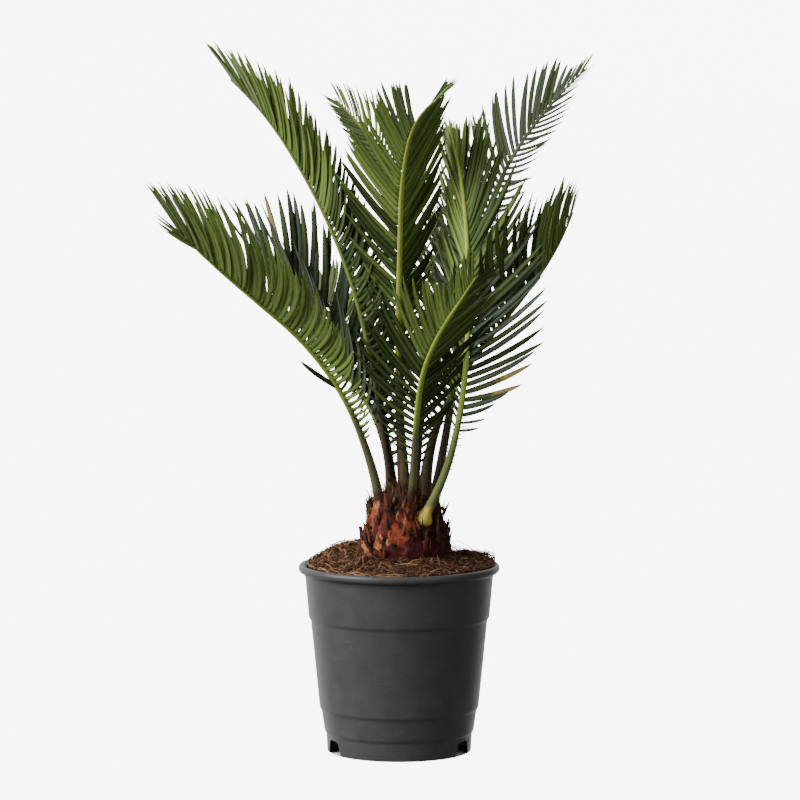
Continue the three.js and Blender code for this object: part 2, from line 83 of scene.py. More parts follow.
FRONDS = [{**PLAIN_FROND, **own} for own in (
    dict(name="frond_01", foot=(-17, -10, 216), bearing=195, length=301, bare=0.28, stout=1.2,
         lean=(11, 23, 38, 51, 50, 44), sweep=(-2, 3, 7, 7, 6, 5), turn=-12,
         reach=(29, 50, 78, 80, 50), forward=(98, 85, 72, 50, 16), rise=(49, 49), spacing=0.78,
         strays=((0.09, -1, -80, 28, 42), (0.90, -1, -40, 20, 34), (0.935, -1, -50, 17, 36),
                 (0.965, -1, -35, 15, 34), (0.985, -1, -20, 14, 30)), odd={6: "deep"}, stalk="green",
         tones=((0.7, "glow", "sunny"), (0.88, "glow", "glow"), (1, "light", "light"))),
    dict(name="frond_02", foot=(-5, 5, 219), bearing=170, length=383, stout=0.9,
         lean=(8, 10, 15, 25, 33, 49), sweep=(0, -1, -1, -1, 0, 2),
         reach=(30, 46, 58, 62, 46), forward=(83, 69, 54, 42, 18), rise=(54, 55), curl=0.45,
         spacing=0.9, blade=(2.2, 2.2),
         tones=((0.48, "shade", "shade"), (0.62, "bright", "bright"), (0.84, "sunny", "fresh"),
                (1, "light", "light"))),
    dict(name="frond_03", foot=(-8, 16, 218), bearing=145, length=230,
         lean=(5, 23, 41, 44, 45, 54), sweep=(-10, -3, 5, 3, -1, -1), turn=-13,
         reach=(50, 75, 95, 106, 76), forward=(89, 62, 29), rise=(63, 72), curl=0.4,
         spacing=1.2, blade=(3.4, 3.4), odd={39: "dry"}, tones=((1, "grey", "grey"),)),
    dict(name="frond_04", foot=(5, -12, 222), bearing=265, length=384, bare=0.28, stout=1.3,
         lean=(-7, -1, 8, 23, 44, 69), sweep=(-6, -2, 2, 3, 12, 36), turn=17,
         reach=(21, 35, 56, 77, 78, 72, 68, 52, 34), forward=(54, 52, 46, 31, 24), rise=(31, 34),
         curl=0.3, ends=(0.86, 1), basal=4, blade=(2.3, 2.9), bulb=1, stalk="olive",
         tones=((0.2, "shade", "mid"), (0.4, "mid", "mid"), (0.55, "sunny", "bright"),
                (0.74, "glow", "fresh"), (1, "light", "sunny"))),
    dict(name="frond_05", foot=(3, 15, 220), bearing=115, length=368, bare=0.35,
         lean=(3, 7, 13, 22, 38, 48), sweep=(4, -5, -10, -6, 13, 29), turn=72,
         reach=(31, 54, 66, 51, 22), forward=(86, 71, 26), rise=(-10, 35),
         blade=(2.4, 1.8), tones=((1, "mid", "bright"),)),
    dict(name="frond_06", foot=(22, -24, 204), bearing=330, length=337, bare=0.25,
         lean=(33, 16, 6, -1, -8, -21), sweep=(-1, -3, -2, 0, 2, 0), turn=-91,
         reach=(20, 71, 90, 93, 91, 85, 78, 36, 12), forward=(74, 58, 41, 23, 10), rise=(36, 8),
         curl=0.25, basal=1, blade=(2.3, 2.4), odd={6: "dry", 8: "dry"}, bulb=4.8, stalk="yellow",
         tones=((0.36, "mid", "grey"), (0.6, "sunny", "mid"), (0.8, "glow", "mid"),
                (1, "light", "sunny"))),
    dict(name="frond_07", foot=(30, 10, 218), bearing=40, length=434, bare=0.4, stout=1.05,
         lean=(15, 17, 23, 35, 48, 56), sweep=(-1, 8, 13, 10, 3, -1), turn=-64,
         reach=(48, 57, 64, 65, 66, 61, 57, 28, 24), forward=(86, 53, 13), rise=(41, 4), curl=0.35,
         spacing=1.3, crowding=0, blade=(2.7, 1.5), stalk="grey", tones=((1, "pale", "pale"),)),
    dict(name="frond_08", foot=(22, -5, 220), bearing=350, length=281, stout=1.6,
         lean=(1, 20, 36, 41, 35, 21), sweep=(2, -4, -9, -12, -12, -11), turn=2,
         reach=(50, 84, 98, 74, 26), forward=(86, 59, 12), rise=(55, 56), ragged=2, fine=0.65,
         tones=((0.45, "shade", "shade"), (0.65, "mid", "mid"), (0.85, "fresh", "fresh"),
                (1, "light", "bright"))),
    dict(name="frond_09", foot=(11, -24, 221), bearing=295, length=230, bare=0.22, stout=0.9,
         lean=(12, 21, 30, 40, 45, 43), sweep=(-2, -7, -7, 2, 9, 9), turn=1,
         reach=(36, 61, 81, 80, 77, 53, 34, 33, 35), forward=(73, 55, 41, 37, 35), rise=(38, 9),
         curl=0.35, basal=4, blade=(2.2, 2.5), bulb=1, stalk="green",
         tones=((0.3, "shade", "shade"), (0.42, "mid", "mid"), (1, "sunny", "bright"))),
    dict(name="frond_10", foot=(13, 21, 218), bearing=75, lean=(14, 27, 41, 55, 70, 86)),
    dict(name="frond_11", foot=(-5, 27, 218), bearing=110, lean=(18, 36, 54, 70, 86, 100)),
)]
FRAME_STEPS = 80
SOCKET = 9  # how deep a foot sits in the crown
FOOT_RADIUS, BARE_RADIUS, UPPER_RADIUS, TIP_RADIUS = 4.2, 2.8, 1.7, 0.7
UPPER_RIB = 0.8  # share of the rib from which it thins out to its tip
LAST_LEAFLET = 0.985  # share of the rib where the leaflets end
HAND_OFFSET = 0.15  # how far the right row runs behind the left, in spacings
LOUVRE = 8  # how far a leaflet turns on its own axis
FULL_LENGTH = 45  # from which a leaflet has its full width
BULB_DEPTH, BULB_SPREAD = 4.5, 5  # how deep in the crown a foot is thickest, and how far that spreads
SPINES_FROM, SPINE_STEP = 22, 6.2  # where the spines start above the foot, and how far apart they are

# How the finishes are dealt out to a row's leaflets: greens lighter or darker by painted light and shade.
LIT_AND_SHADED_TONES = {
    "light": ("light", "light", "bright"),
    "pale": ("pale", "pale", "pale", "light"),
    "glow": ("glow", "glow", "sunny"),
    "sunny": ("sunny", "sunny", "sunny", "glow"),
    "fresh": ("sunny", "sunny", "bright", "bright"),
    "bright": ("bright", "bright", "sunny", "mid"),
    "mid": ("mid", "mid", "bright", "shade"),
    "shade": ("shade", "shade", "mid", "deep"),
    "grey": ("grey", "grey", "shade", "deep"),
}

# The trunk: heights and radii of its core, from the cut at ground level up.
TRUNK_X, TRUNK_LEAN, TRUNK_FOOT, TRUNK_CROWN = 6, -1.6, 162.3, 222
TRUNK_PROFILE = ((162.3, 34), (172, 35.5), (184, 34), (196, 30.5), (212, 26.5), (219, 21), (222, 12))
BASES = ("base_plum", "base_rust", "base_orange", "base_cream", "base_dark")
BRACTS = ("bract_dark", "bract_brown", "bract_rust", "bract_tan")
GOLDEN_ANGLE = 137.508
BULB_ROOM = 9.5  # kept clear round the one fresh foot that shows at the front
FRESH_FOOT = next(frond["foot"] for frond in FRONDS if frond["stalk"] == "yellow")

# The leaf bases that show most: bearing, height of the foot, length, half width, tilt and tone. The
# others follow in a spiral.
# The cream ones, at the front left where the key light falls, are partly painted highlight.
FRONT_BASES = (
    (213, 193, 24, 7, 4, "base_cream"), (206, 183, 24, 9, -4, "base_orange"),
    (202, 168, 28, 10, 3, "base_plum"), (192, 158, 26, 10, -6, "base_plum"),
    (226, 170, 23, 5, 18, "base_cream"), (221, 164, 18, 4.5, -44, "base_cream"),
    (242, 180, 29, 9, 3, "base_rust"), (262, 171, 29, 11, -5, "base_orange"),
    (251, 157, 24, 13, 6, "base_plum"), (231, 158, 18, 8, -8, "base_rust"),
    (277, 182, 27, 8, 2, "base_orange"), (282, 158, 30, 11, -3, "base_plum"),
    (297, 161, 26, 9, 6, "base_rust"), (307, 157, 28, 13, -4, "base_plum"),
    (323, 164, 26, 11, 2, "base_plum"), (336, 158, 26, 12, 5, "base_dark"),
    (348, 170, 25, 9, -6, "base_dark"), (330, 188, 22, 8, 0, "base_dark"),
)

# The potting mix, and how close to the trunk and the rim its fibres and crumbs lie.
MIX_EDGE, MIX_CROWN, MIX_HEAP, MIX_HEAP_BEARING = 157.5, 166, 7, 140
MIX_SPAN = 78  # radius over which the surface swells
MIX_RADIUS = 77.7  # where it meets the wall of the pot
MIX_FLOOR, MIX_TAPER = 9, 0.74  # its underside, and how much narrower that is
FIBRE_REACH, CRUMB_REACH, RIM_INSIDE, TUFT_REACH = 76, 75, 76.6, 81
FIBRE_GAP, CRUMB_GAP = 35.5, 35
TUFT_BEARING, TUFT_BEARING_SPREAD, TUFT_FROM, TUFT_TO = 12, 9, 60, 77
FIBRES = ("fibre_pale", "fibre_tan", "fibre_brown", "fibre_dark")
CRUMBS = ("crumb_dark", "crumb_rust", "crumb_bark")

# The drain notches in the pot's foot ring: half widths below and at the top, height and depth.
NOTCH_BEARINGS = (-154, -29, 88)
NOTCH_HALF, NOTCH_TOP_HALF, NOTCH_TOP, NOTCH_REACH, NOTCH_ROUND = 11.5, 7.5, 12, 12, 3
FOOT_RING = 61  # outer radius of the foot ring
UNDERSIDE_RADIUS, UNDERSIDE_TOP = 60.5, 12.8  # what lies within gets a darker copy of the plastic: painted shade

CAMERA_PLACE, CAMERA_DIP = (0.0007, -3.4, 0.62), 5.41  # in metres, and degrees down from level


# ---- settings ----


def a_length(name, description, default):
    return bpy.props.FloatProperty(name=name, description=description, default=default, unit="LENGTH")


def a_number(name, description, default, **limits):
    return bpy.props.FloatProperty(name=name, description=description, default=default, **limits)


def a_count(name, description, default, least=0):
    return bpy.props.IntProperty(name=name, description=description, default=default, min=least)


def a_colour(name, description, *default):
    return bpy.props.FloatVectorProperty(
        name=name, description=description, default=default, subtype="COLOR")


class PotSettings(bpy.types.PropertyGroup):
    height: a_length("Height", "From the ground to the top of the rim", POT_BOX[1].z)
    rim_radius: a_length("Rim radius", "Outside of the turned-down rim", 85 * MM)
    band: a_length("Rim band", "Height of the turned-down lip", 6 * MM)
    wall: a_length("Wall", "Thickness of the wall", 1.5 * MM)
    segments: a_count("Segments", "Corners of each ring", 120, 24)
    colour: a_colour("Colour", "Body colour of the plastic", 0.066, 0.066, 0.066)
    fleck_colour: a_colour("Fleck colour", "Lighter flecks of recycled plastic", 0.13, 0.13, 0.13)


class MixSettings(bpy.types.PropertyGroup):
    fibres: a_count("Fibres", "Number of coir fibres", 3200)
    tuft: a_count("Tuft", "How many of them stand in a tuft at the right rim", 420)
    crumbs: a_count("Crumbs", "Number of crumbs of bark and peat", 1500)
    grains: a_count("Grains", "Number of pale grains", 26)
    fibre_length: a_length("Fibre length", "Longest fibre", 52 * MM)
    soil_colour: a_colour("Soil colour", "Colour of the mix under the fibres", 0.024, 0.010, 0.006)
    fibre_colour: a_colour("Fibre colour", "Colour of the palest fibres", 0.31, 0.165, 0.08)


class TrunkSettings(bpy.types.PropertyGroup):
    scales: a_count("Leaf bases", "Number of old leaf bases in the spiral", 60, 10)
    bracts: a_count("Bracts", "Number of dry bracts between the leaf bases", 120)
    crown_bracts: a_count("Crown bracts", "Number of dry bracts between the stalks", 64)
    hairs: a_count("Hairs", "Number of hairs of brown felt", 1500)
    plum: a_colour("Plum", "Colour of the lower leaf bases", 0.068, 0.014, 0.018)
    rust: a_colour("Rust", "Colour of the middle leaf bases", 0.165, 0.028, 0.014)
    orange: a_colour("Orange", "Colour of the upper leaf bases", 0.310, 0.068, 0.026)
    # Cream is partly painted highlight, as on the front bases that face the key light.
    cream: a_colour("Cream", "Colour of fresh edges", 0.50, 0.23, 0.085)


class FrondSettings(bpy.types.PropertyGroup):
    pitch: a_length("Leaflet spacing", "Mean room between two leaflets of a row", 5.3 * MM)
    fullness: a_number("Leaflet fullness", "Width of the leaflets as a share of the usual",
                       1.0, min=0.3, max=2.0)
    thickness: a_length("Leaflet thickness", "Thickness at the midrib", 0.6 * MM)
    spine_length: a_length("Spine length", "Length of the spines on the leafless part", 4.0 * MM)
    # The greens are lighter and darker copies of one leaf colour: painted light and shade.
    bright: a_colour("Bright green", "Leaflets in full light", 0.115, 0.175, 0.037)
    mid: a_colour("Mid green", "Most of the leaflets", 0.062, 0.094, 0.024)
    # Deep green is the darkest painted shade on the leaflets.
    deep: a_colour("Deep green", "The oldest leaflets", 0.022, 0.034, 0.011)
    dry: a_colour("Dry", "The few dried leaflets", 0.40, 0.33, 0.11)


class StageSettings(bpy.types.PropertyGroup):
    floor_radius: a_length("Floor radius", "Half of the flat floor's width", 20)
    rim_radius: a_length("Rim radius", "Radius of the curve in which the floor's rim rises", 6)
    floor_colour: a_colour("Floor colour", "Plain pale floor", 0.92, 0.92, 0.92)
    floor_glow: a_number("Floor glow", "How much brighter than lit paper the floor shows", 7.0)
    surround: a_number("Surround", "Strength of the light all round", 0.16)
    backdrop: a_number("Backdrop", "How much brighter the surround is at the back", 1.3)
    glow_from: bpy.props.FloatVectorProperty(
        name="Glow from", description="Where the surround is brightest", default=(-0.15, 1, 0.1))
    key: a_number("Key light", "Strength of the soft light from the left", 5.0)
    lens: a_number("Lens", "Focal length in millimetres", 182.4)


class PalmSettings(bpy.types.PropertyGroup):
    pot: bpy.props.PointerProperty(type=PotSettings)
    mix: bpy.props.PointerProperty(type=MixSettings)
    trunk: bpy.props.PointerProperty(type=TrunkSettings)
    fronds: bpy.props.PointerProperty(type=FrondSettings)
    stage: bpy.props.PointerProperty(type=StageSettings)


# ---- finishes ----


class Wire:
    """A socket of a node tree that plain arithmetic works on."""

    def __init__(self, tree, socket):
        self.tree = tree
        self.socket = socket

    def maths(self, operation, *values):
        node = self.tree.nodes.new("ShaderNodeMath")
        node.operation = operation
        for place, value in zip(node.inputs, values):
            if isinstance(value, Wire):
                self.tree.links.new(value.socket, place)
            else:
                place.default_value = value
        return Wire(self.tree, node.outputs[0])

    def __add__(self, other):
        return self.maths("ADD", self, other)

    def __mul__(self, other):
        return self.maths("MULTIPLY", self, other)

    def __sub__(self, other):
        return self.maths("SUBTRACT", self, other)

    def __rsub__(self, other):
        return self.maths("SUBTRACT", other, self)

    def __abs__(self):
        return self.maths("ABSOLUTE", self)

    __radd__ = __add__
    __rmul__ = __mul__


class Nodes:
    """The nodes of a material or of the surround: its shader, and the one way to add a node."""

    def __init__(self, owner, shader, **surface):
        owner.use_nodes = True
        self.tree = owner.node_tree
        self.surface = self.tree.nodes[shader]
        self.feed(**surface)

    def join(self, value, socket):
        if isinstance(value, Wire):
            self.tree.links.new(value.socket, socket)
        elif socket.type == "RGBA":
            socket.default_value = (*value, 1)
        else:
            socket.default_value = value

    def feed(self, **surface):
        for name, value in surface.items():
            self.join(value, self.surface.inputs[name.replace("_", " ")])

    def node(self, kind, settings, sockets, out=0):
        node = self.tree.nodes.new("ShaderNode" + kind)
        for key, value in settings.items():
            setattr(node, key, value)
        for key, value in sockets.items():
            self.join(value, node.inputs[key])
        return Wire(self.tree, node.outputs[out])

    def between(self, value, low, high):
        """0 under low, 1 over high, and smooth from one to the other."""
        return self.node("MapRange", {"interpolation_type": "SMOOTHSTEP"}, {
            "Value": value, "From Min": low, "From Max": high})


class Finish(Nodes):
    """A material being made."""

    def __init__(self, name, **surface):
        self.material = bpy.data.materials.new(name)
        super().__init__(self.material, "Principled BSDF", **surface)

    def place(self, stretch=(1, 1, 1)):
        """Where a point is on the object, with each axis stretched."""
        where = self.node("TexCoord", {}, {}, out=3)
        return self.node("VectorMath", {"operation": "MULTIPLY"}, {0: where, 1: stretch})

    def cloud(self, size, detail=2, stretch=(1, 1, 1)):
        """Soft noise, from 0 to 1, of a given grain size in millimetres."""
        return self.node("TexNoise", {}, {
            "Vector": self.place(stretch), "Scale": 1 / (size * MM), "Detail": detail})

    def mixed(self, share, first, second):
        return self.node("Mix", {"data_type": "RGBA"}, {0: share, 6: first, 7: second}, out=2)

    def pattern(self):
        """How far a point of a leaflet, a scale or a rib is from its middle line, and how far along."""
        flat = self.node("UVMap", {"uv_map": PATTERN_MAP}, {})
        across, along = (self.node("SeparateXYZ", {}, {0: flat}, out=k) for k in (0, 1))
        return abs(across * 2 - 1), along

    def done(self, colour, roughness, height, depth):
        """The material, with what varies over it. depth is that of its relief, in millimetres."""
        bump = self.node("Bump", {}, {"Height": height, "Distance": depth * MM, "Strength": 1})
        self.feed(Base_Color=colour, Roughness=roughness, Normal=bump)
        return self.material


def tinted(colour, factor):
    return tuple(min(part * factor, 1) for part in colour)


def pot_finish(settings, name, shade, specular):
    """Recycled plastic with flecks, scuffs and dust. shade darkens it where no light gets in."""
    finish = Finish(name, Specular_IOR_Level=specular)
    flecks = finish.between(finish.cloud(0.9, 3), 0.62, 0.74)
    mottle = finish.cloud(14, 3)
    scuffs = finish.between(finish.cloud(9, 5, (0.5, 0.5, 3)), 0.60, 0.72)
    dust = finish.between(finish.cloud(30, 4), 0.50, 0.75)
    dark, light = (tinted(settings.colour, factor * shade) for factor in (0.8, 1.2))
    pale = tinted(settings.fleck_colour, shade)
    worn = finish.mixed(0.22 * scuffs + 0.10 * dust, finish.mixed(mottle, dark, light), pale)
    return finish.done(
        finish.mixed(flecks * 0.6, worn, pale), 0.33 + 0.14 * mottle + 0.12 * scuffs,
        finish.cloud(1.6, 3) + 0.5 * scuffs, 0.05)


def soil_finish(settings):
    finish = Finish("mix_soil", Specular_IOR_Level=0.2)
    clod = finish.cloud(5, 4)
    crumb = finish.cloud(1.2, 3)
    dark = finish.mixed(clod, tinted(settings.soil_colour, 0.45), tinted(settings.soil_colour, 1.5))
    rusty = finish.between(crumb, 0.55, 0.75) * 0.6
    return finish.done(finish.mixed(rusty, dark, tinted(settings.fibre_colour, 0.4)),
                       0.85 + 0.15 * crumb, crumb + 0.6 * clod, 0.9)


def strand_finish(name, colour, grain=3, contrast=0.35):
    """Dry plant fibre: streaks of two tones of one colour."""
    finish = Finish(name, Specular_IOR_Level=0.3)
    streak = finish.cloud(grain, 3)
    body = finish.mixed(streak, tinted(colour, 1 - contrast), tinted(colour, 1 + contrast))
    return finish.done(body, 0.75 + 0.2 * streak, finish.cloud(grain / 6), 0.1)


def scale_finish(name, body, patch, edge, tip):
    """An old leaf base: two colours in patches, fibrous, with a paler edge and a dry dark tip."""
    finish = Finish(name, Specular_IOR_Level=0.15)
    from_middle, along = finish.pattern()
    fibre = finish.cloud(0.9, 4, (1, 1, 0.15))
    blotch = finish.cloud(5, 4, (1, 1, 0.5))
    patched = finish.mixed(finish.between(blotch, 0.44, 0.60), body, patch)
    rim = finish.between(from_middle + 0.7 * blotch - 0.35, 0.62, 1.0)
    edged = finish.mixed(rim * 0.7, patched, edge)
    grained = finish.mixed(finish.between(fibre, 0.42, 0.72) * 0.62, edged, tinted(tip, 0.8))
    dry = finish.between(along + 0.5 * blotch - 0.25, 0.74, 0.95)
    return finish.done(finish.mixed(dry, grained, tip), 0.5 + 0.3 * fibre + 0.1 * blotch,
                       fibre + 0.5 * blotch, 0.5)


def leaf_finish(name, colour, midrib, withered=None):
    """A leaflet: leathery green with a pale midrib, yellower at its root, with painted shade at its
    edges.
    """
    finish = Finish(name, Specular_IOR_Level=0.17)
    from_middle, along = finish.pattern()
    mottle = finish.cloud(4, 3)
    blade = finish.mixed(mottle, tinted(colour, 0.85), tinted(colour, 1.15))
    rooted = finish.mixed((1 - finish.between(along, 0.0, 0.15)) * 0.45, blade, midrib)
    # painted shade: the edges are darkened as between overlapping leaflets
    edged = finish.mixed(finish.between(from_middle, 0.60, 0.95) * 0.8, rooted, tinted(colour, 0.25))
    ribbed = finish.mixed((1 - finish.between(from_middle, 0.10, 0.40)) * 0.85, edged, midrib)
    if withered:
        dead = finish.between(along + 0.3 * mottle - 0.15, 0.42, 0.60)
        ribbed = finish.mixed(dead, ribbed, finish.mixed(mottle, tinted(withered, 0.7), withered))
    return finish.done(ribbed, 0.42 + 0.18 * mottle + 0.06 * finish.cloud(30),
                       1 - finish.between(from_middle, 0.0, 0.35) + 0.3 * mottle, 0.12)


def stalk_finish(name, foot, stalk, rachis, felt=0.45):
    """A rib: felted at its foot, then the stalk, then the paler rachis between the leaflets."""
    finish = Finish(name, Specular_IOR_Level=0.12)
    from_middle, along = finish.pattern()
    streak = finish.cloud(1.2, 3, (1, 1, 0.2))
    patchy = along + 0.06 * finish.cloud(9, 3) - 0.03
    lower = finish.mixed(finish.between(patchy, 0.005, 0.035), foot, stalk)
    green = finish.mixed(finish.between(patchy, 0.18, 0.36), lower, rachis)
    sides = finish.between(from_middle, 0.35, 0.95) * (1 - finish.between(along, 0.15, 0.35))
    felted = finish.mixed(sides * felt + streak * 0.12, green, (0.055, 0.024, 0.012))
    return finish.done(felted, 0.42 + 0.25 * streak, streak, 0.15)


def strand_palette(prefix, colours):
    """Fibre finishes from a table of name, grain and colour."""
    return {name: strand_finish(prefix + name, colour, grain) for name, grain, colour in colours}


# ---- shapes ----


def deselect():
    if bpy.context.object and bpy.context.object.mode != "OBJECT":
        bpy.ops.object.mode_set(mode="OBJECT")
    bpy.ops.object.select_all(action="DESELECT")


def select(piece):
    deselect()
    piece.select_set(True)
    bpy.context.view_layer.objects.active = piece


def start_disc(corners, radius, place=(0, 0, 0), fill="NGON"):
    """A disc that a piece is drawn from, in edit mode and selected all over. In metres."""
    deselect()
    bpy.ops.mesh.primitive_circle_add(vertices=corners, radius=radius, fill_type=fill, location=place)
    bpy.ops.object.transform_apply(location=True)
    bpy.ops.object.mode_set(mode="EDIT")
    bpy.ops.mesh.select_all(action="SELECT")
    return bpy.context.object


def draw_rings(extrude, rings, x=0.0):
    """Draws the selection on through rings of a radius and a height, in metres."""
    for (radius, height), (next_radius, next_height) in zip(rings, rings[1:]):
        extrude(TRANSFORM_OT_translate={"value": (0, 0, next_height - height)})
        share = next_radius / radius
        bpy.ops.transform.resize(value=(share, share, 1), center_override=(x, 0, next_height))


def face_outwards():
    """Turns all faces outwards and leaves edit mode."""
    bpy.ops.mesh.select_all(action="SELECT")
    bpy.ops.mesh.normals_make_consistent(inside=False)
    bpy.ops.object.mode_set(mode="OBJECT")


def name_and_paint(piece, name, *finishes):
    piece.name = piece.data.name = name
    for finish in finishes:
        piece.data.materials.append(finish)


def smooth(piece, angle):
    """Smooths over the edges that are flatter than an angle."""
    select(piece)
    bpy.ops.object.shade_smooth_by_angle(angle=math.radians(angle))


def settle(piece, slot, *nodes):
    """Hands a finished piece over to the frame."""
    if nodes:
        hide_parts(*nodes)
    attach(piece, "root")


def heading(bearing):
    """Level direction at a bearing."""
    turn = math.radians(bearing)
    return np.array((math.cos(turn), math.sin(turn), 0))


def unit(vectors):
    return vectors / np.maximum(np.linalg.norm(vectors, axis=-1, keepdims=True), 1e-12)


def smoothstep(value, low, high):
    share = np.clip((value - low) / (high - low), 0, 1)
    return share * share * (3 - 2 * share)


def evenly(values, t):
    """Value at t of a list of evenly spaced values."""
    return np.interp(t, np.linspace(0, 1, len(values)), values)


def columns(rows):
    return [np.array(column) for column in zip(*rows)]


class Strand:
    """A closed unit tube, modelled once, that leaflets, fibres, scales and ribs are bent from."""

    def __init__(self, sides, stations):
        made = start_disc(sides, 1)
        for _ in range(stations - 1):
            bpy.ops.mesh.extrude_region_move(TRANSFORM_OT_translate={"value": (0, 0, 1)})
        face_outwards()
        self.shares = np.linspace(0, 1, stations)
        self.ring = np.array([heading(360 * k / sides)[:2] for k in range(sides)])
        order = []
        for vertex in made.data.vertices:
            angle = math.atan2(vertex.co.y, vertex.co.x) / (2 * math.pi) * sides
            order.append(round(vertex.co.z) * sides + round(angle) % sides)
        self.faces = []
        for face in made.data.polygons:
            first, *others = (order[i] for i in face.vertices)
            # turned round, because a bent strand's across, normal and way along are left-handed
            self.faces.append([first, *reversed(others)])
        bpy.data.objects.remove(made)

    def bent(self, centre, across, normal, half, thick, keel=0.0):
        """Points of many strands, from arrays indexed by strand and station."""
        a, b = self.ring[:, 0], self.ring[:, 1]
        aside = a * half[..., None]
        lift = b * thick[..., None] - keel * a * a * half[..., None]
        points = (centre[:, :, None] + across[:, :, None] * aside[..., None]
                  + normal[:, :, None] * lift[..., None])
        return points.reshape(len(centre), -1, 3)

    def along(self, curves, side, half, thick):
        """Points of many strands that run along curves, with their width square to side."""
        run = unit(np.gradient(curves, axis=1))
        across = unit(np.cross(run, side))
        return self.bent(curves, across, np.cross(across, run), half, thick)


class Batch:
    """Many small closed shapes that become one joined mesh. Their points are in millimetres."""

    def __init__(self, finishes):
        self.finishes = list(finishes)
        self.points, self.faces, self.slots, self.flat = [], [], [], []
        self.count = 0

    def add(self, shape, faces, finish, flat):
        """Adds one shape. flat is each point's place in the pattern."""
        slot = self.finishes.index(finish)
        self.points.append(shape)
        for face in faces:
            self.faces.append([i + self.count for i in face])
            self.slots.append(slot)
            self.flat.extend(flat[i] for i in face)
        self.count += len(shape)

    def add_strands(self, strand, points, tones, shares=None):
        """Adds bent strands. shares are the stations' shares along, and tones names their finishes."""
        shares = strand.shares if shares is None else shares
        flat = [(across, along) for along in shares for across in (strand.ring[:, 0] + 1) / 2]
        for shape, tone in zip(points, tones):
            self.add(shape, strand.faces, tone, flat)

    def build(self, name, palette):
        mesh = bpy.data.meshes.new(name)
        mesh.from_pydata((np.concatenate(self.points) * MM).tolist(), [], self.faces)
        for finish in self.finishes:
            mesh.materials.append(palette[finish])
        mesh.polygons.foreach_set("material_index", self.slots)
        mesh.polygons.foreach_set("use_smooth", [True] * len(self.faces))
        flat = np.array(self.flat, np.float32)
        mesh.uv_layers.new(name=PATTERN_MAP).uv.foreach_set("vector", flat.ravel())
        column = np.repeat(np.array(self.slots), [len(face) for face in self.faces])
        flat[:, 0] = (column + 0.05 + 0.9 * flat[:, 0]) / len(self.finishes)
        flat[:, 1] = 0.02 + 0.96 * flat[:, 1]
        mesh.uv_layers.new(name=BAKE_MAP).uv.foreach_set("vector", flat.ravel())
        mesh.validate()
        mesh.update()
        piece = bpy.data.objects.new(name, mesh)
        bpy.context.scene.collection.objects.link(piece)
        return piece


# ---- pot ----


def rounded(corners, radius, steps=3):
    """A profile of (radius, height) corners, each one eased by a small arc."""
    eased = [corners[0]]
    for before, corner, after in zip(corners, corners[1:], corners[2:]):
        here = np.array(corner, float)
        legs = [np.array(before, float) - here, np.array(after, float) - here]
        cut = min(radius, *(np.linalg.norm(leg) * 0.45 for leg in legs))
        start, end = (here + leg / np.linalg.norm(leg) * cut for leg in legs)
        for t in np.linspace(0, 1, steps + 1):
            eased.append(tuple((1 - t) ** 2 * start + 2 * t * (1 - t) * here + t * t * end))
    return [*eased, corners[-1]]


def pot_profile(settings):
    """Once round the wall: from the disc of the underside out, up, over the rim and down inside."""
    top, rim, wall, band = (size / MM for size in (
        settings.height, settings.rim_radius, settings.wall, settings.band))
    foot = [(46, 0.0), (48, 12.4), (59.4, 12.4), (59.4, 0.0)]
    outer = [(FOOT_RING, 0.0), (61.8, 15.0), (63.3, 17.6), (65.8, 34.8), (67.4, 37.4), (74.8, 111.6),
             (76.5, 114.2), (79.5, top - 11)]
    lip = [(80.4, top - band - 1.4), (rim - 1.6, top - band - 0.6), (rim, top - band + 1.2),
           (rim, top - 1.8), (rim - 1.6, top), (rim - 3.4, top), (78, top - 3.4)]
    inner = [(radius - wall, height) for radius, height in outer[:0:-1]]
    floor = [(inner[-1][0] + 0.2, 13.9), (47, 13.9), (45, 1.5)]
    return rounded([*foot, *outer, *lip, *inner, *floor], 1.1)


def make_pot(settings):
    profile = [(radius * MM, height * MM) for radius, height in pot_profile(settings)]
    pot = start_disc(settings.segments, profile[0][0], (0, 0, profile[0][1]))
    bpy.ops.mesh.flip_normals()
    bpy.ops.mesh.select_mode(type="EDGE")
    draw_rings(bpy.ops.mesh.extrude_edges_move, profile)
    bpy.ops.mesh.edge_face_add()
    face_outwards()
    for bearing in NOTCH_BEARINGS:
        cut_notch(pot, bearing)
    # The faces under the pot, inside the foot ring, take a darker copy of the plastic without shine:
    # painted shade.
    name_and_paint(pot, "pot_body", pot_finish(settings, "pot_plastic", 1, 0.45),
                   pot_finish(settings, "pot_painted_shade", 0.15, 0))
    for face in pot.data.polygons:
        middle = face.center / MM
        face.material_index = int(middle.xy.length < UNDERSIDE_RADIUS and middle.z < UNDERSIDE_TOP)
    smooth(pot, 32)
    settle(pot, "pot_plastic", "pot")


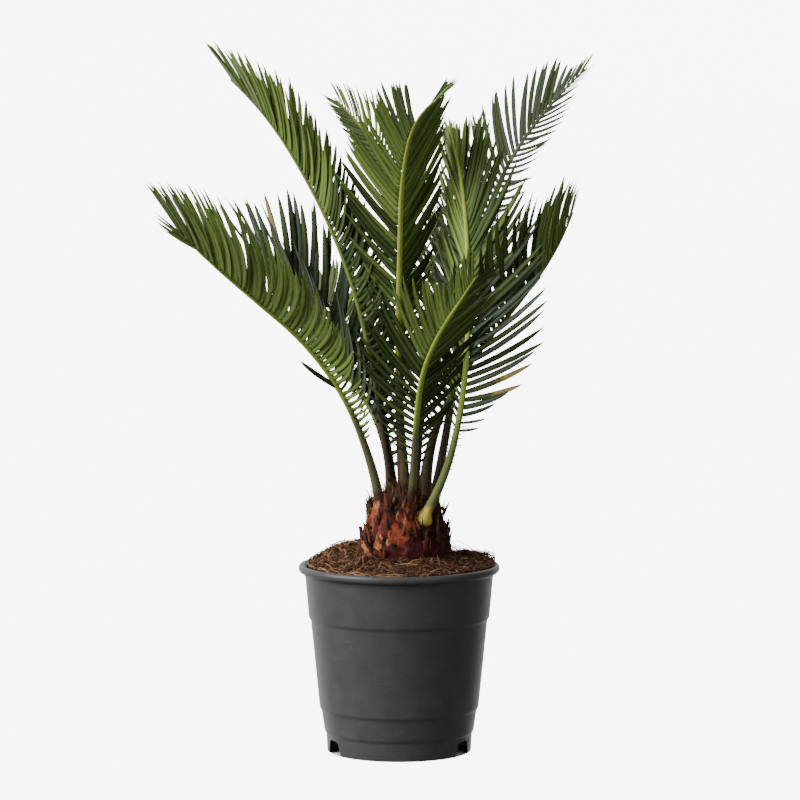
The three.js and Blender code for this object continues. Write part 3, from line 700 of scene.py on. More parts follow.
def cut_notch(pot, bearing):
    """A drain notch through the foot ring, narrower at its rounded top than at the ground."""
    deselect()
    bpy.ops.mesh.primitive_cube_add(size=1, location=(0, 0, 0))
    cutter = bpy.context.object
    way = Vector(heading(bearing))
    side = way.cross(Vector((0, 0, 1)))
    for vertex in cutter.data.vertices:
        along, across, up = vertex.co
        half, height = (NOTCH_TOP_HALF, NOTCH_TOP) if up > 0 else (NOTCH_HALF, -NOTCH_TOP / 4)
        place = way * (FOOT_RING + NOTCH_REACH / 6 + along * NOTCH_REACH) + side * (2 * across * half)
        vertex.co = (place + Vector((0, 0, height))) * MM
    bpy.ops.object.mode_set(mode="EDIT")
    bpy.ops.mesh.select_mode(type="EDGE")
    bpy.ops.mesh.select_all(action="DESELECT")
    bpy.ops.object.mode_set(mode="OBJECT")
    for edge in cutter.data.edges:
        ends = [cutter.data.vertices[k].co for k in edge.vertices]
        aside = abs((ends[0] - ends[1]).normalized().dot(way))
        edge.select = aside > 0.9 and min(end.z for end in ends) > 0
    bpy.ops.object.mode_set(mode="EDIT")
    bpy.ops.mesh.bevel(offset=NOTCH_ROUND * MM, segments=6)
    face_outwards()
    cut = pot.modifiers.new("notch", "BOOLEAN")
    cut.operation = "DIFFERENCE"
    cut.object = cutter
    cut.solver = "EXACT"
    select(pot)
    bpy.ops.object.modifier_apply(modifier=cut.name)
    bpy.data.objects.remove(cutter)


# ---- potting mix ----


def mix_height(x, y):
    """Height of the mix at a place in the pot."""
    inward = 1 - np.minimum(np.hypot(x, y) / MIX_SPAN, 1)
    swell = (MIX_CROWN - MIX_EDGE) * smoothstep(inward, 0, 0.55)
    way = heading(MIX_HEAP_BEARING)
    to_heap = (x * way[0] + y * way[1]) / MIX_SPAN
    heap = MIX_HEAP * np.maximum(0, to_heap) * 1.8 * np.minimum(1, 4 * inward)
    lumps = np.sin(x * 0.21 + 1.3) * np.cos(y * 0.17) + 0.6 * np.sin((x - y) * 0.33)
    return MIX_EDGE + swell + heap + 1.1 * lumps * np.minimum(1, 6 * inward)


def make_bed(palette):
    """The bed of the mix, lumpy on top, down to the floor of the pot."""
    bed = start_disc(48, MIX_RADIUS * MM, (0, 0, MIX_EDGE * MM), "TRIFAN")
    bpy.ops.mesh.subdivide(number_cuts=17)
    bpy.ops.mesh.extrude_region_move(TRANSFORM_OT_translate={"value": (0, 0, 0.1 * MM)})
    bpy.ops.object.mode_set(mode="OBJECT")
    for vertex in bed.data.vertices:
        x, y, z = vertex.co / MM
        if z > MIX_EDGE + 0.05:
            out = math.hypot(x, y) / MIX_RADIUS
            rough = 4.4 * noise.fractal(Vector((x, y, 3)) / 8, 0.7, 2.1, 4) * min(1, 8 * (1.02 - out))
            vertex.co.z = (float(mix_height(x, y)) + rough) * MM
        else:
            # the underside follows the taper of the wall down to the floor
            vertex.co *= MIX_TAPER
            vertex.co.z = MIX_FLOOR * MM
    bpy.ops.object.mode_set(mode="EDIT")
    face_outwards()
    name_and_paint(bed, "mix_bed", palette["soil"])
    smooth(bed, 50)
    settle(bed, "coir_mix", "soil")


def in_pot(rng, reach):
    """A random place in the pot, within a radius about its middle."""
    radius = math.sqrt(rng.uniform(0, reach * reach))
    turn = rng.uniform(0, 2 * math.pi)
    return radius * math.cos(turn), radius * math.sin(turn)


def make_fibres(settings, palette):
    """Coir fibres that lie over the mix, arch, and stand in a tuft at one side of the rim."""
    rng = random.Random(11)
    strand = Strand(4, 7)
    shares = strand.shares
    curves, tones = [], []
    while len(curves) < settings.fibres:
        x, y = in_pot(rng, FIBRE_REACH)
        in_tuft = len(curves) < settings.tuft
        if in_tuft:
            out = rng.uniform(TUFT_FROM, TUFT_TO)
            x, y = (out * heading(rng.gauss(TUFT_BEARING, TUFT_BEARING_SPREAD)))[:2]
        length = settings.fibre_length / MM * rng.uniform(0.18, 1) ** 1.6
        angles = rng.uniform(0, 2 * math.pi) + rng.gauss(0, 1.1) * shares
        step = length / (len(shares) - 1)
        xs, ys = x + np.cumsum(np.cos(angles)) * step, y + np.cumsum(np.sin(angles)) * step
        pull = np.minimum(1, (TUFT_REACH if in_tuft else RIM_INSIDE) / np.maximum(np.hypot(xs, ys), 1e-6))
        xs, ys = xs * pull, ys * pull
        from_trunk = np.hypot(xs - TRUNK_X, ys)
        if from_trunk.min() < FIBRE_GAP:
            continue
        first, last = rng.uniform(0.1, 2.2), rng.uniform(0.1, 2.2)
        arch = rng.expovariate(1 / 1.4) * min(1, length / 25)
        lift = first * (1 - shares) + last * shares + arch * np.sin(math.pi * shares) - 0.3
        lift += 2.5 * np.exp(-np.maximum(from_trunk - FIBRE_GAP - 0.5, 0) / 3) * rng.random()
        if rng.random() < 0.03:
            lift += shares ** 2 * rng.uniform(3, 7)
        if in_tuft:
            lift += rng.uniform(1, 8.5) * np.exp(-((xs - x) ** 2 + (ys - y) ** 2) / 300)
        zs = mix_height(xs, ys) + lift
        zs = np.where(np.hypot(xs, ys) > RIM_INSIDE, np.maximum(zs, POT_BOX[1].z / MM + 1), zs)
        curves.append(np.stack([xs, ys, zs], 1))
        # the fibres are darker at the right, as painted shade of the trunk, and in a strip at the front
        dark = xs[0] > 30 or (-55 < ys[0] < -30 and xs[0] > -8)
        odds = (0.5, 1.8, 4.5, 4.5) if dark else (1.6, 3.2, 3.4, 3.6)
        tones.append(rng.choices(FIBRES, odds)[0])
    girth = np.array([[rng.uniform(0.16, 0.36) + 0.16 * (tone == FIBRES[0])] for tone in tones])
    half = girth * (1 - 0.6 * shares ** 3)
    batch = Batch(FIBRES)
    batch.add_strands(strand, strand.along(np.array(curves), (0, 0, 1), half, half * 0.8), tones)
    settle(batch.build("mix_fibres", palette), "coir_mix")


def make_crumbs(settings, palette):
    """Uneven crumbs of bark and peat, and a few pale grains."""
    rng = random.Random(12)
    deselect()
    bpy.ops.mesh.primitive_ico_sphere_add(subdivisions=1, radius=1)
    lump = bpy.context.object
    corners = np.array([vertex.co for vertex in lump.data.vertices])
    faces = [list(face.vertices) for face in lump.data.polygons]
    bpy.data.objects.remove(lump)
    batch = Batch((*CRUMBS, "grain"))
    for k in range(settings.crumbs + settings.grains):
        x, y = in_pot(rng, CRUMB_REACH)
        if math.hypot(x - TRUNK_X, y) < CRUMB_GAP:
            continue
        is_grain = k >= settings.crumbs
        size = rng.uniform(0.6, 1.2) if is_grain else 0.5 + 2.4 * rng.random() ** 3
        sizes = size * np.array((rng.uniform(0.6, 1.8), rng.uniform(0.5, 1.0), 0.6))
        turn, dip = rng.uniform(0, math.pi), rng.gauss(0, 0.35)
        shape = corners * (1 + 0.3 * np.array([[rng.uniform(-1, 1)] for _ in corners])) * sizes
        turned = np.array(Matrix.Rotation(turn, 3, "Z") @ Matrix.Rotation(dip, 3, "Y"))
        place = np.array((x, y, mix_height(x, y) + rng.uniform(0.4, 2.2)))
        tone = "grain" if is_grain else rng.choices(CRUMBS, (4, 3, 2))[0]
        batch.add(shape @ turned.T + place, faces, tone, [(0.5, 0.5)] * len(corners))
    settle(batch.build("mix_crumbs", palette), "coir_mix")


# ---- trunk ----


def trunk_share(z):
    """How far up the trunk a height is."""
    return (z - TRUNK_FOOT) / (TRUNK_CROWN - TRUNK_FOOT)


def trunk_middle(z):
    return np.stack([TRUNK_X + TRUNK_LEAN * trunk_share(z), np.zeros_like(z), z], -1)


def trunk_radius(z):
    return np.interp(z, *zip(*TRUNK_PROFILE))


def on_trunk(bearings, heights, out):
    """Places on the trunk, out from its core, and their outward directions, at bearings in radians."""
    ways = np.stack([np.cos(bearings), np.sin(bearings), np.zeros_like(bearings)], -1)
    return trunk_middle(heights) + ways * (trunk_radius(heights) + out)[..., None], ways


def near_bulb(places):
    """Whether a piece would cover the fresh foot."""
    return np.linalg.norm(places - np.array(FRESH_FOOT), axis=1).min() < BULB_ROOM


def weathered(points):
    """Moves points in and out from the trunk's axis, by lumps and by upright fibrous ridges."""
    flat = points.reshape(-1, 3)
    outward = flat - trunk_middle(flat[:, 2])
    outward[:, 2] = 0
    depth = [1.7 * noise.fractal(Vector((x, y, 0.6 * z)) / 4.5, 0.8, 2.1, 4)
             + 1.3 * noise.noise(Vector((x / 2, y / 2, z / 14))) for x, y, z in flat]
    return (flat + unit(outward) * np.array(depth)[:, None]).reshape(points.shape)


def make_core(palette):
    """The core of the trunk, with its taper, its lean and a lumpy surface."""
    rings = [(trunk_radius(z) * MM, z * MM) for z in np.linspace(TRUNK_FOOT, TRUNK_CROWN, 18)]
    core = start_disc(64, rings[0][0], (TRUNK_X * MM, 0, TRUNK_FOOT * MM))
    draw_rings(bpy.ops.mesh.extrude_region_move, rings, TRUNK_X * MM)
    bpy.ops.mesh.inset(thickness=4 * MM)
    bpy.ops.mesh.inset(thickness=4 * MM)
    face_outwards()
    for vertex in core.data.vertices:
        z = vertex.co.z / MM
        if z > TRUNK_FOOT + 0.1:
            way = (vertex.co - Vector((TRUNK_X * MM, 0, vertex.co.z))).normalized()
            vertex.co += way * 1.6 * MM * noise.fractal(vertex.co / (7 * MM), 0.7, 2.1, 3)
            vertex.co.x += TRUNK_LEAN * MM * trunk_share(z)
    name_and_paint(core, "trunk_core", palette["felt_dark"])
    smooth(core, 60)
    settle(core, "trunk_bark", "trunk")


def make_leaf_bases(settings, palette):
    """Overlapping old leaf bases, each a ragged shield that stands out to its tip."""
    rng = random.Random(21)
    strand = Strand(16, 15)
    shares = strand.shares ** 0.9
    width = np.interp(shares, (0, 0.2, 0.5, 0.8, 0.93, 1), (0.9, 1, 0.92, 0.6, 0.28, 0.03))
    bulge = np.interp(shares, (0, 0.25, 0.7, 1), (0.2, 1.2, 2.4, 3.2))
    planned, rows = list(FRONT_BASES), []
    for k in range(settings.scales):
        up = k / (settings.scales - 1)
        bearing = k * GOLDEN_ANGLE % 360 + rng.gauss(0, 6)
        warm = 0.3 + 0.9 * (up - 0.5) + rng.gauss(0, 0.4)
        tone = BASES[np.searchsorted((-0.1, 0.35, 0.75, 1.1), warm) - 1]
        planned.append((bearing, 156 + 46 * up + rng.gauss(0, 1.5), rng.uniform(19, 28) * (1 - 0.2 * up),
                        rng.uniform(7, 12) * (1 - 0.3 * up), rng.gauss(0, 8), tone))
    for k, (bearing, foot, tall, half, tilt, tone) in enumerate(planned):
        stand = rng.uniform(0.3, 0.9) if k >= len(FRONT_BASES) else rng.uniform(1.0, 1.4)
        aside = np.tan(math.radians(tilt)) * tall * shares / trunk_radius(foot)
        places, ways = on_trunk(math.radians(bearing) + aside, foot + tall * shares, bulge * stand)
        if near_bulb(places):
            continue
        run = unit(np.gradient(places, axis=0))
        across = unit(np.cross(run, ways))
        ragged = 1 + 0.35 * np.array([noise.noise(Vector((k * 7.3, share * 9, 0))) for share in shares])
        thick = np.maximum(1.5 * width, 0.3) * rng.uniform(0.8, 1.25)
        rows.append((places, across, np.cross(across, run), half * width * ragged, thick, tone))
    *frames, tones = columns(rows)
    batch = Batch(BASES)
    batch.add_strands(strand, weathered(strand.bent(*frames, keel=0.14)), tones, shares)
    settle(batch.build("trunk_leaf_bases", palette), "trunk_bark")


def make_bracts(settings, palette):
    """Dry pointed bracts between the leaf bases and up between the stalks, and one upright stub."""
    rng = random.Random(22)
    strand = Strand(6, 7)
    pointed = np.array((0.8, 1, 0.9, 0.72, 0.5, 0.26, 0.03))
    rows = []
    for k in range(settings.bracts + settings.crown_bracts + 1):
        is_stub = k == 0
        bearing = rng.uniform(0, 2 * math.pi)
        width, flatness = pointed, 0.35
        sunk, odds = 1.0, (5, 4, 3, 1)
        if is_stub:
            bearing, foot, length, half, lean, hook = math.pi, 168, 25, 2.0, 7, 0
            width, flatness = np.ones(len(pointed)), 0.9
        elif k <= settings.crown_bracts:
            foot, length, half = rng.uniform(210, 216), rng.uniform(12, 25), rng.uniform(1.6, 3.4)
            lean, hook = rng.uniform(-4, 18), rng.uniform(-12, 14)
            sunk, odds = -21 * rng.random() ** 0.7, (3, 4, 6, 3)
        else:
            foot = 164 + 50 * rng.random() ** 0.7
            length, half = rng.uniform(8, 19), rng.uniform(1.2, 3.2)
            lean, hook = rng.uniform(2, 26), rng.uniform(-18, 30)
            sunk = rng.uniform(1.5, 4.0)
        root, way = on_trunk(*(np.array(float(value)) for value in (bearing, foot, sunk)))
        side = unit(np.cross(way, (0, 0, 1)) + rng.gauss(0, 0.25) * way)
        angles = np.radians(lean + hook * strand.shares)
        slant = rng.gauss(0, 0.22) * side
        run = unit(np.outer(np.cos(angles), (0, 0, 1)) + np.outer(np.sin(angles), way) + slant)
        places = root + np.cumsum(run, 0) * length / len(run) - run[0] * 2
        if near_bulb(places):
            continue
        across = unit(np.cross(run, np.cross(side, run)))
        tone = "bract_grey" if is_stub else rng.choices(BRACTS, odds)[0]
        rows.append((places, across, np.cross(across, run), half * width, half * width * flatness, tone))
    *frames, tones = columns(rows)
    batch = Batch((*BRACTS, "bract_grey"))
    batch.add_strands(strand, strand.bent(*frames), tones)
    settle(batch.build("trunk_bracts", palette), "trunk_bark")


def make_felt(settings, palette):
    """Brown felt between the stalks: short hairs over the crown and down the trunk."""
    rng = random.Random(23)
    strand = Strand(3, 4)
    curves, tones = [], []
    for _ in range(settings.hairs):
        way = heading(math.degrees(rng.uniform(0, 2 * math.pi)))
        height = TRUNK_CROWN - 50 * rng.random() ** 2.2
        reach = rng.random() ** 0.5 if height > TRUNK_CROWN - 4 else 1
        root = trunk_middle(np.array(height)) + way * (trunk_radius(height) + 1.5) * reach
        lean = math.radians(rng.uniform(-4, 16))
        length = rng.uniform(3, 10)
        aside, bend = ([rng.gauss(0, spread) for _ in range(3)] for spread in (0.22, 0.25))
        run = np.cos(lean) * np.array((0, 0, 1)) + np.sin(lean) * way + aside
        curves.append(root + (np.outer(strand.shares, run) + np.outer(strand.shares ** 2, bend)) * length)
        tones.append(rng.choice(("felt_tan", "felt_brown", "felt_brown")))
    girth = 0.2 * (1 - 0.6 * strand.shares)[None]
    batch = Batch(("felt_tan", "felt_brown"))
    batch.add_strands(strand, strand.along(np.array(curves), (0.3, 1, 0.1), girth, girth), tones)
    settle(batch.build("trunk_felt", palette), "trunk_bark")


# ---- fronds ----


class Rib:
    """Frames along a frond's rib: place, direction, the way its blade faces, and its left."""

    def __init__(self, frond):
        self.frond = frond
        self.steps = np.linspace(0, 1, FRAME_STEPS + 1)
        lean, sweep = (np.radians(evenly(frond[key], self.steps[:, None])) for key in ("lean", "sweep"))
        out, side, up = heading(frond["bearing"]), heading(frond["bearing"] + 90), np.array((0, 0, 1))
        direction = unit(out * np.sin(lean) + side * np.sin(sweep) + up * np.cos(lean))
        flat = -out * np.cos(lean) + up * np.sin(lean)
        flat = unit(flat - direction * (flat * direction).sum(1, keepdims=True))
        turn = math.radians(frond["turn"])
        face = flat * math.cos(turn) + np.cross(direction, flat) * math.sin(turn)
        step = direction * frond["length"] / FRAME_STEPS
        place = np.array(frond["foot"], float) + np.cumsum(step, 0) - step
        self.rows = place, direction, face, np.cross(direction, face)

    def at(self, t):
        """Place, direction, face and left at shares of the rib; below 0 it runs on straight."""
        place, direction, face, left = (
            np.stack([np.interp(t, self.steps, rows[:, k]) for k in range(3)], -1) for rows in self.rows)
        below = np.minimum(t, 0)[..., None] * self.frond["length"]
        return place + below * direction, direction, face, left

    def radius(self, t):
        bare = self.frond["bare"]
        radii = FOOT_RADIUS, BARE_RADIUS, UPPER_RADIUS, TIP_RADIUS
        return (np.interp(t, (0, bare), (self.frond["stout"], 1))
                * np.interp(t, (0, bare, UPPER_RIB, 1), radii))


def make_rib(frond, settings, palette):
    """The rib with its swollen foot, and two rows of short spines along its leafless part."""
    rib = Rib(frond)
    name, length, bare = frond["name"], frond["length"], frond["bare"]
    t = np.concatenate([np.linspace(-SOCKET / length, 0.1, 18), np.linspace(0.1, 1, 41)[1:]])
    strand = Strand(12, len(t))
    place, _, face, left = (part[None] for part in rib.at(t))
    bulb = frond["bulb"] * np.exp(-((t * length + BULB_DEPTH) / BULB_SPREAD) ** 2)
    half = (rib.radius(t) + bulb)[None]
    finish = "stalk_" + frond["stalk"]
    batch = Batch((finish, "spine"))
    batch.add_strands(strand, strand.bent(place, left, face, half, half * 0.86), [finish],
                      np.clip(t, 0, 1))
    spine = Strand(5, 3)
    rng = random.Random(name)
    rows = []
    for hand in (-1, 1):
        for root in np.arange(SPINES_FROM / length, bare + 0.02, SPINE_STEP / length):
            at = np.array(root + rng.uniform(-1.5, 1.5) / length)
            place, direction, face, left = rib.at(at)
            run = unit(left * hand + 0.45 * direction + face * rng.uniform(-0.1, 0.5))
            grown = 0.7 + 1.7 * smoothstep(at / bare, 0.4, 1)
            reach = settings.spine_length / MM * rng.uniform(0.7, 1.15) * grown
            start = place + left * hand * (rib.radius(at) - 0.6)
            across = unit(np.cross(run, face))
            rows.append((start + np.outer(spine.shares, run) * reach, across[None],
                         unit(np.cross(across, run))[None]))
    half = np.array([(0.6, 0.35, 0.05)])
    batch.add_strands(spine, spine.bent(*columns(rows), half, half * 0.8), ["spine"] * len(rows))
    settle(batch.build(name + "_rib", palette), "frond_leaf", name)


def make_leaflets(frond, settings, palette):
    """The two rows of leaflets, grown by the rule of the solids and set closer."""
    rib = Rib(frond)
    rng = random.Random(frond["name"] + " leaflets")
    strand = Strand(8, 8)
    shares = np.array((0, 0.06, 0.18, 0.38, 0.58, 0.76, 0.90, 1))
    width = np.array((0.72, 0.94, 1, 1, 0.96, 0.80, 0.48, 0.04))
    leafy = frond["length"] * MM * (1 - frond["bare"])
    per_row = round(leafy / (settings.pitch * frond["spacing"]))
    index, hand = columns((i, side) for i in range(-frond["basal"], per_row) for side in (-1, 1))
    u = (index + 0.5 + HAND_OFFSET * hand) / per_row
    u = (1 + frond["crowding"]) * u - frond["crowding"] * u ** 2
    kept = u < np.where(hand > 0, *frond["ends"])
    u, hand = u[kept], hand[kept]

    def jitter(spread):
        return np.array([rng.gauss(0, spread) for _ in u])

    def by_row(key):
        return np.where(hand > 0, *frond[key])

    t = frond["bare"] + (LAST_LEAFLET - frond["bare"]) * u
    place, direction, face, left = rib.at(t)
    left = left * hand[:, None]
    place = place + left * (rib.radius(t) * 0.55)[:, None] + face * (rib.radius(t) * 0.3)[:, None]
    rise = by_row("rise") + jitter(3.5)
    forward = evenly(frond["forward"], u) + jitter(2.2) * frond["ragged"]
    length = evenly(frond["reach"], u) * (1 + np.clip(jitter(0.025) * frond["ragged"], -0.15, 0.05))
    length = length * np.clip(1 + 4.5 * u, 0.25, 1)  # the ones below the leafy part are small
    for share, row, *stray in frond["strays"]:
        nearest = np.argmin(np.abs(u - share) + (hand != row))
        rise[nearest], forward[nearest], length[nearest] = stray
    rise, forward = np.radians(rise)[:, None], np.radians(forward)[:, None]
    away = (left * np.cos(rise) + face * np.sin(rise))[:, None]
    normal = (face * np.cos(rise) - left * np.sin(rise))[:, None]
    direction = direction[:, None]
    curl = frond["curl"] + jitter(0.03)[:, None]
    angle = forward * (1 - curl * shares)
    ahead = (np.sin(forward) - np.sin(angle)) / (forward * curl)
    aside = (np.cos(angle) - np.cos(forward)) / (forward * curl)
    droop = 0.03 * shares[:, None] ** 2
    centre = place[:, None] + length[:, None, None] * (
        direction * ahead[..., None] + away * aside[..., None] - normal * droop)
    run = direction * np.cos(angle)[..., None] + away * np.sin(angle)[..., None]
    across = unit(np.cross(run, normal))
    twist = -(hand * (math.radians(LOUVRE) + jitter(0.08)))[:, None] * (1 - 0.4 * shares)
    blade = across * np.cos(twist)[..., None] + normal * np.sin(twist)[..., None]
    slim = np.clip(length / FULL_LENGTH, 0.5, 1) * (1 - frond["fine"] * smoothstep(u, 0.7, 1))
    half = (by_row("blade") * settings.fullness * slim)[:, None] * width
    thick = settings.thickness / MM / 2 * np.clip(width, 0.15, 1)[None]
    # Each leaflet takes a lighter or darker green by its row and its share along the rib: painted light
    # and shade.
    tones = []
    for share, side in zip(u + jitter(0.05), hand):
        stage = next((row for row in frond["tones"] if share < row[0]), frond["tones"][-1])
        tones.append(rng.choice(LIT_AND_SHADED_TONES[stage[1 if side > 0 else 2]]))
    for odd, tone in frond["odd"].items():
        tones[odd + 2 * frond["basal"]] = tone
    batch = Batch(sorted(set(tones)))
    points = strand.bent(centre, blade, np.cross(blade, run), half, thick, keel=0.16)
    batch.add_strands(strand, points, tones, shares)
    settle(batch.build(frond["name"] + "_leaflets", palette), "frond_leaf")


# ---- stage ----


def make_floor(settings):
    """A wide pale floor whose far rim curves up. It is seen, and casts no light on the plant."""
    floor = start_disc(96, settings.floor_radius)
    bpy.ops.mesh.select_mode(type="EDGE")
    draw_rings(bpy.ops.mesh.extrude_edges_move, [
        (settings.floor_radius + settings.rim_radius * math.sin(angle),
         settings.rim_radius * (1 - math.cos(angle))) for angle in np.linspace(0, math.pi / 2, 13)])
    bpy.ops.object.mode_set(mode="OBJECT")
    bpy.ops.object.shade_smooth()
    finish = Finish("floor_paint", Roughness=0.8, Specular_IOR_Level=0.1,
                    Emission_Strength=settings.floor_glow)
    from_axis = finish.node("VectorMath", {"operation": "LENGTH"}, {0: finish.place()}, out=1)
    glow_outside_painted_shadow = finish.between(from_axis, 0.0597, 0.0611)  # the glow stops under the pot's foot ring: a painted shadow there
    paler, plain = tinted(settings.floor_colour, 0.995), tuple(settings.floor_colour)
    finish.feed(Emission_Color=finish.mixed(glow_outside_painted_shadow, (0, 0, 0), (1, 1, 1)),
                Base_Color=finish.mixed(finish.cloud(400), paler, plain))
    name_and_paint(floor, "floor", finish.material)
    floor.visible_diffuse = floor.visible_glossy = floor.visible_shadow = False


def make_lights(settings):
    """An even surround that is brighter at the back, a soft key light and a weak fill light."""
    world = bpy.context.scene.world = bpy.data.worlds.new("surround")
    nodes = Nodes(world, "Background", Color=(1, 1, 1))
    facing = nodes.node("VectorMath", {"operation": "DOT_PRODUCT"}, {
        0: nodes.node("TexCoord", {}, {}), 1: unit(np.array(settings.glow_from))}, out=1)
    nodes.feed(Strength=settings.surround + settings.backdrop * nodes.between(facing, 0.35, 1.0))
    for name, aim, strength, spread in (
            ("key_light", (0.94, 0.40, -0.62), settings.key, 45),
            ("fill_light", (-0.5, 0.8, -0.5), settings.key * 0.08, 60)):
        light = bpy.data.lights.new(name, "SUN")
        light.energy = strength
        light.angle = math.radians(spread)
        lamp = bpy.data.objects.new(name, light)
        lamp.rotation_euler = Vector(aim).to_track_quat("-Z", "Y").to_euler()
        bpy.context.scene.collection.objects.link(lamp)


def make_camera(settings):
    camera = bpy.data.cameras.new("camera")
    camera.lens = settings.lens
    camera.sensor_width = 36
    camera.clip_end = 200
    holder = bpy.data.objects.new("camera", camera)
    holder.location = CAMERA_PLACE
    holder.rotation_euler = (math.radians(90 - CAMERA_DIP), 0, 0)
    bpy.context.scene.collection.objects.link(holder)
    bpy.context.scene.camera = holder


# ---- operators ----


class SAGO_OT_pot(bpy.types.Operator):
    """Turns the nursery pot, with its stepped wall, its rim and its drain notches"""

    bl_idname = "sago.pot"
    bl_label = "Pot"

    def execute(self, context):
        make_pot(context.scene.sago_palm.pot)
        return {"FINISHED"}


class SAGO_OT_mix(bpy.types.Operator):
    """Fills the pot with potting mix: its bed, the coir fibres and the crumbs"""

    bl_idname = "sago.mix"
    bl_label = "Potting mix"

    def execute(self, context):
        settings = context.scene.sago_palm.mix
        palette = strand_palette("mix_", (
            ("fibre_pale", 3, tinted(settings.fibre_colour, 1.5)),
            ("fibre_tan", 3, tinted(settings.fibre_colour, 0.8)),
            ("fibre_brown", 3, (0.125, 0.048, 0.020)),
            ("fibre_dark", 3, (0.045, 0.019, 0.010)),
            ("crumb_dark", 3, (0.03, 0.016, 0.01)),
            ("crumb_rust", 3, (0.115, 0.038, 0.016)),
            ("crumb_bark", 3, (0.09, 0.06, 0.04))))
        palette["grain"] = strand_finish("mix_grain", (0.6, 0.58, 0.52), contrast=0.15)
        palette["soil"] = soil_finish(settings)
        make_bed(palette)
        make_fibres(settings, palette)
        make_crumbs(settings, palette)
        return {"FINISHED"}


class SAGO_OT_trunk(bpy.types.Operator):
    """Models the trunk: core, old leaf bases, dry bracts and the felt of the crown"""

    bl_idname = "sago.trunk"
    bl_label = "Trunk"

    def execute(self, context):
        settings = context.scene.sago_palm.trunk
        plum, rust, orange, cream = (
            tuple(colour) for colour in (settings.plum, settings.rust, settings.orange, settings.cream))
        dark = (0.022, 0.010, 0.008)
        palette = strand_palette("trunk_", (
            ("felt_dark", 4, (0.030, 0.013, 0.008)),
            ("felt_brown", 3, (0.095, 0.038, 0.018)),
            ("felt_tan", 3, (0.20, 0.10, 0.045)),
            ("bract_dark", 2, (0.020, 0.011, 0.008)),
            ("bract_brown", 2, (0.090, 0.032, 0.014)),
            ("bract_rust", 2, (0.15, 0.040, 0.017)),
            ("bract_tan", 2, (0.20, 0.09, 0.04)),
            ("bract_grey", 2, (0.065, 0.048, 0.034))))
        for name, body, patch, edge, tip in (
                ("base_plum", plum, tinted(rust, 0.5), rust, dark),
                ("base_rust", rust, plum, orange, dark),
                ("base_orange", orange, rust, cream, tinted(plum, 0.8)),
                ("base_cream", cream, orange, cream, rust),
                ("base_dark", tinted(plum, 0.5), tinted(rust, 0.35), plum, dark)):
            palette[name] = scale_finish("trunk_" + name, body, patch, edge, tip)
        make_core(palette)
        make_leaf_bases(settings, palette)
        make_bracts(settings, palette)
        make_felt(settings, palette)
        return {"FINISHED"}


class SAGO_OT_ribs(bpy.types.Operator):
    """Draws the rib of each frond, from its swollen foot to its tip, with its spines"""

    bl_idname = "sago.ribs"
    bl_label = "Frond ribs"

    def execute(self, context):
        felted, brown = (0.050, 0.028, 0.016), (0.055, 0.055, 0.036)
        palette = {"stalk_" + name: stalk_finish("rib_" + name, foot, stalk, rachis, felt)
                   for name, foot, stalk, rachis, felt in (
                       ("green", felted, (0.140, 0.156, 0.076), (0.37, 0.49, 0.07), 0.25),
                       ("yellow", (0.84, 0.62, 0.12), (0.160, 0.190, 0.065), (0.50, 0.64, 0.12), 0.1),
                       ("olive", felted, (0.115, 0.095, 0.044), (0.44, 0.54, 0.10), 0.9),
                       ("brown", brown, brown, (0.24, 0.31, 0.08), 0.45),
                       ("grey", brown, brown, (0.25, 0.29, 0.19), 0.45))}
        palette["spine"] = strand_finish("rib_spine", (0.090, 0.095, 0.052), grain=1)
        for frond in FRONDS:
            make_rib(frond, context.scene.sago_palm.fronds, palette)
        return {"FINISHED"}


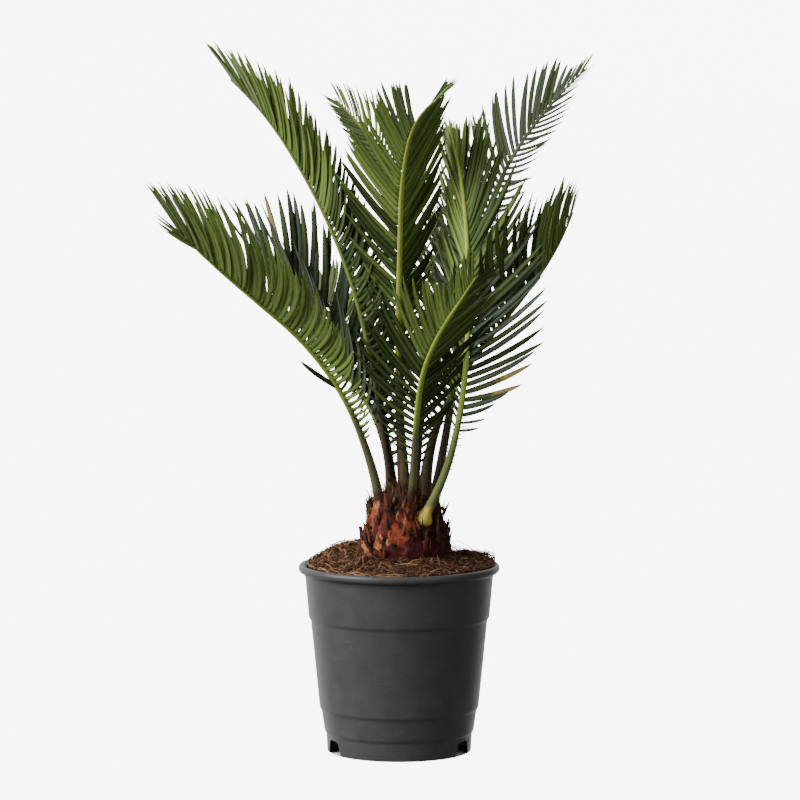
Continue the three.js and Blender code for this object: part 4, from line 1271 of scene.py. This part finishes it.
class SAGO_OT_leaflets(bpy.types.Operator):
    """Sets the leaflets of each frond in two rows along its rib"""

    bl_idname = "sago.leaflets"
    bl_label = "Frond leaflets"

    def execute(self, context):
        settings = context.scene.sago_palm.fronds
        bright, mid, deep, dry = (
            tuple(colour) for colour in (settings.bright, settings.mid, settings.deep, settings.dry))
        # Apart from dry, these are lighter, darker and greyer greens: painted light and shade on the
        # leaflets.
        palette = {name: leaf_finish("leaf_" + name, *colours) for name, *colours in (
            ("light", (0.24, 0.31, 0.12), (0.36, 0.43, 0.20)),
            ("pale", (0.33, 0.40, 0.26), (0.42, 0.49, 0.34)),
            ("glow", tinted(bright, 2.0), (0.34, 0.45, 0.12)),
            ("sunny", tinted(bright, 1.5), (0.26, 0.35, 0.09)),
            ("bright", bright, (0.19, 0.27, 0.06)),
            ("mid", mid, (0.12, 0.17, 0.045)),
            ("shade", tinted(mid, 0.6), (0.070, 0.105, 0.030)),
            ("deep", deep, (0.045, 0.070, 0.022)),
            ("grey", (0.048, 0.070, 0.041), (0.100, 0.13, 0.078)),
            ("dry", tinted(mid, 0.8), (0.12, 0.14, 0.04), dry))}
        for frond in FRONDS:
            make_leaflets(frond, settings, palette)
        return {"FINISHED"}


class SAGO_OT_stage(bpy.types.Operator):
    """Lays the pale floor and sets the lights and the camera"""

    bl_idname = "sago.stage"
    bl_label = "Stage"

    def execute(self, context):
        settings = context.scene.sago_palm.stage
        make_floor(settings)
        make_lights(settings)
        make_camera(settings)
        return {"FINISHED"}


OPERATORS = (SAGO_OT_pot, SAGO_OT_mix, SAGO_OT_trunk, SAGO_OT_ribs, SAGO_OT_leaflets, SAGO_OT_stage)


class SAGO_PT_parts(bpy.types.Panel):
    """The parts of the palm and its stage, in the order they are made"""

    bl_label = "Potted Sago Palm"
    bl_space_type = "VIEW_3D"
    bl_region_type = "UI"
    bl_category = "Sago Palm"

    def draw(self, context):
        for operator in OPERATORS:
            self.layout.operator(operator.bl_idname, text=operator.bl_label)


CLASSES = (PotSettings, MixSettings, TrunkSettings, FrondSettings, StageSettings, PalmSettings,
           *OPERATORS, SAGO_PT_parts)


def register():
    for part in CLASSES:
        bpy.utils.register_class(part)
    bpy.types.Scene.sago_palm = bpy.props.PointerProperty(type=PalmSettings)


def unregister():
    del bpy.types.Scene.sago_palm
    for part in reversed(CLASSES):
        bpy.utils.unregister_class(part)


def main():
    register()
    bpy.ops.sago.pot()
    bpy.ops.sago.mix()
    bpy.ops.sago.trunk()
    bpy.ops.sago.ribs()
    bpy.ops.sago.leaflets()
    bpy.ops.sago.stage()


if __name__ == "__main__":
    main()
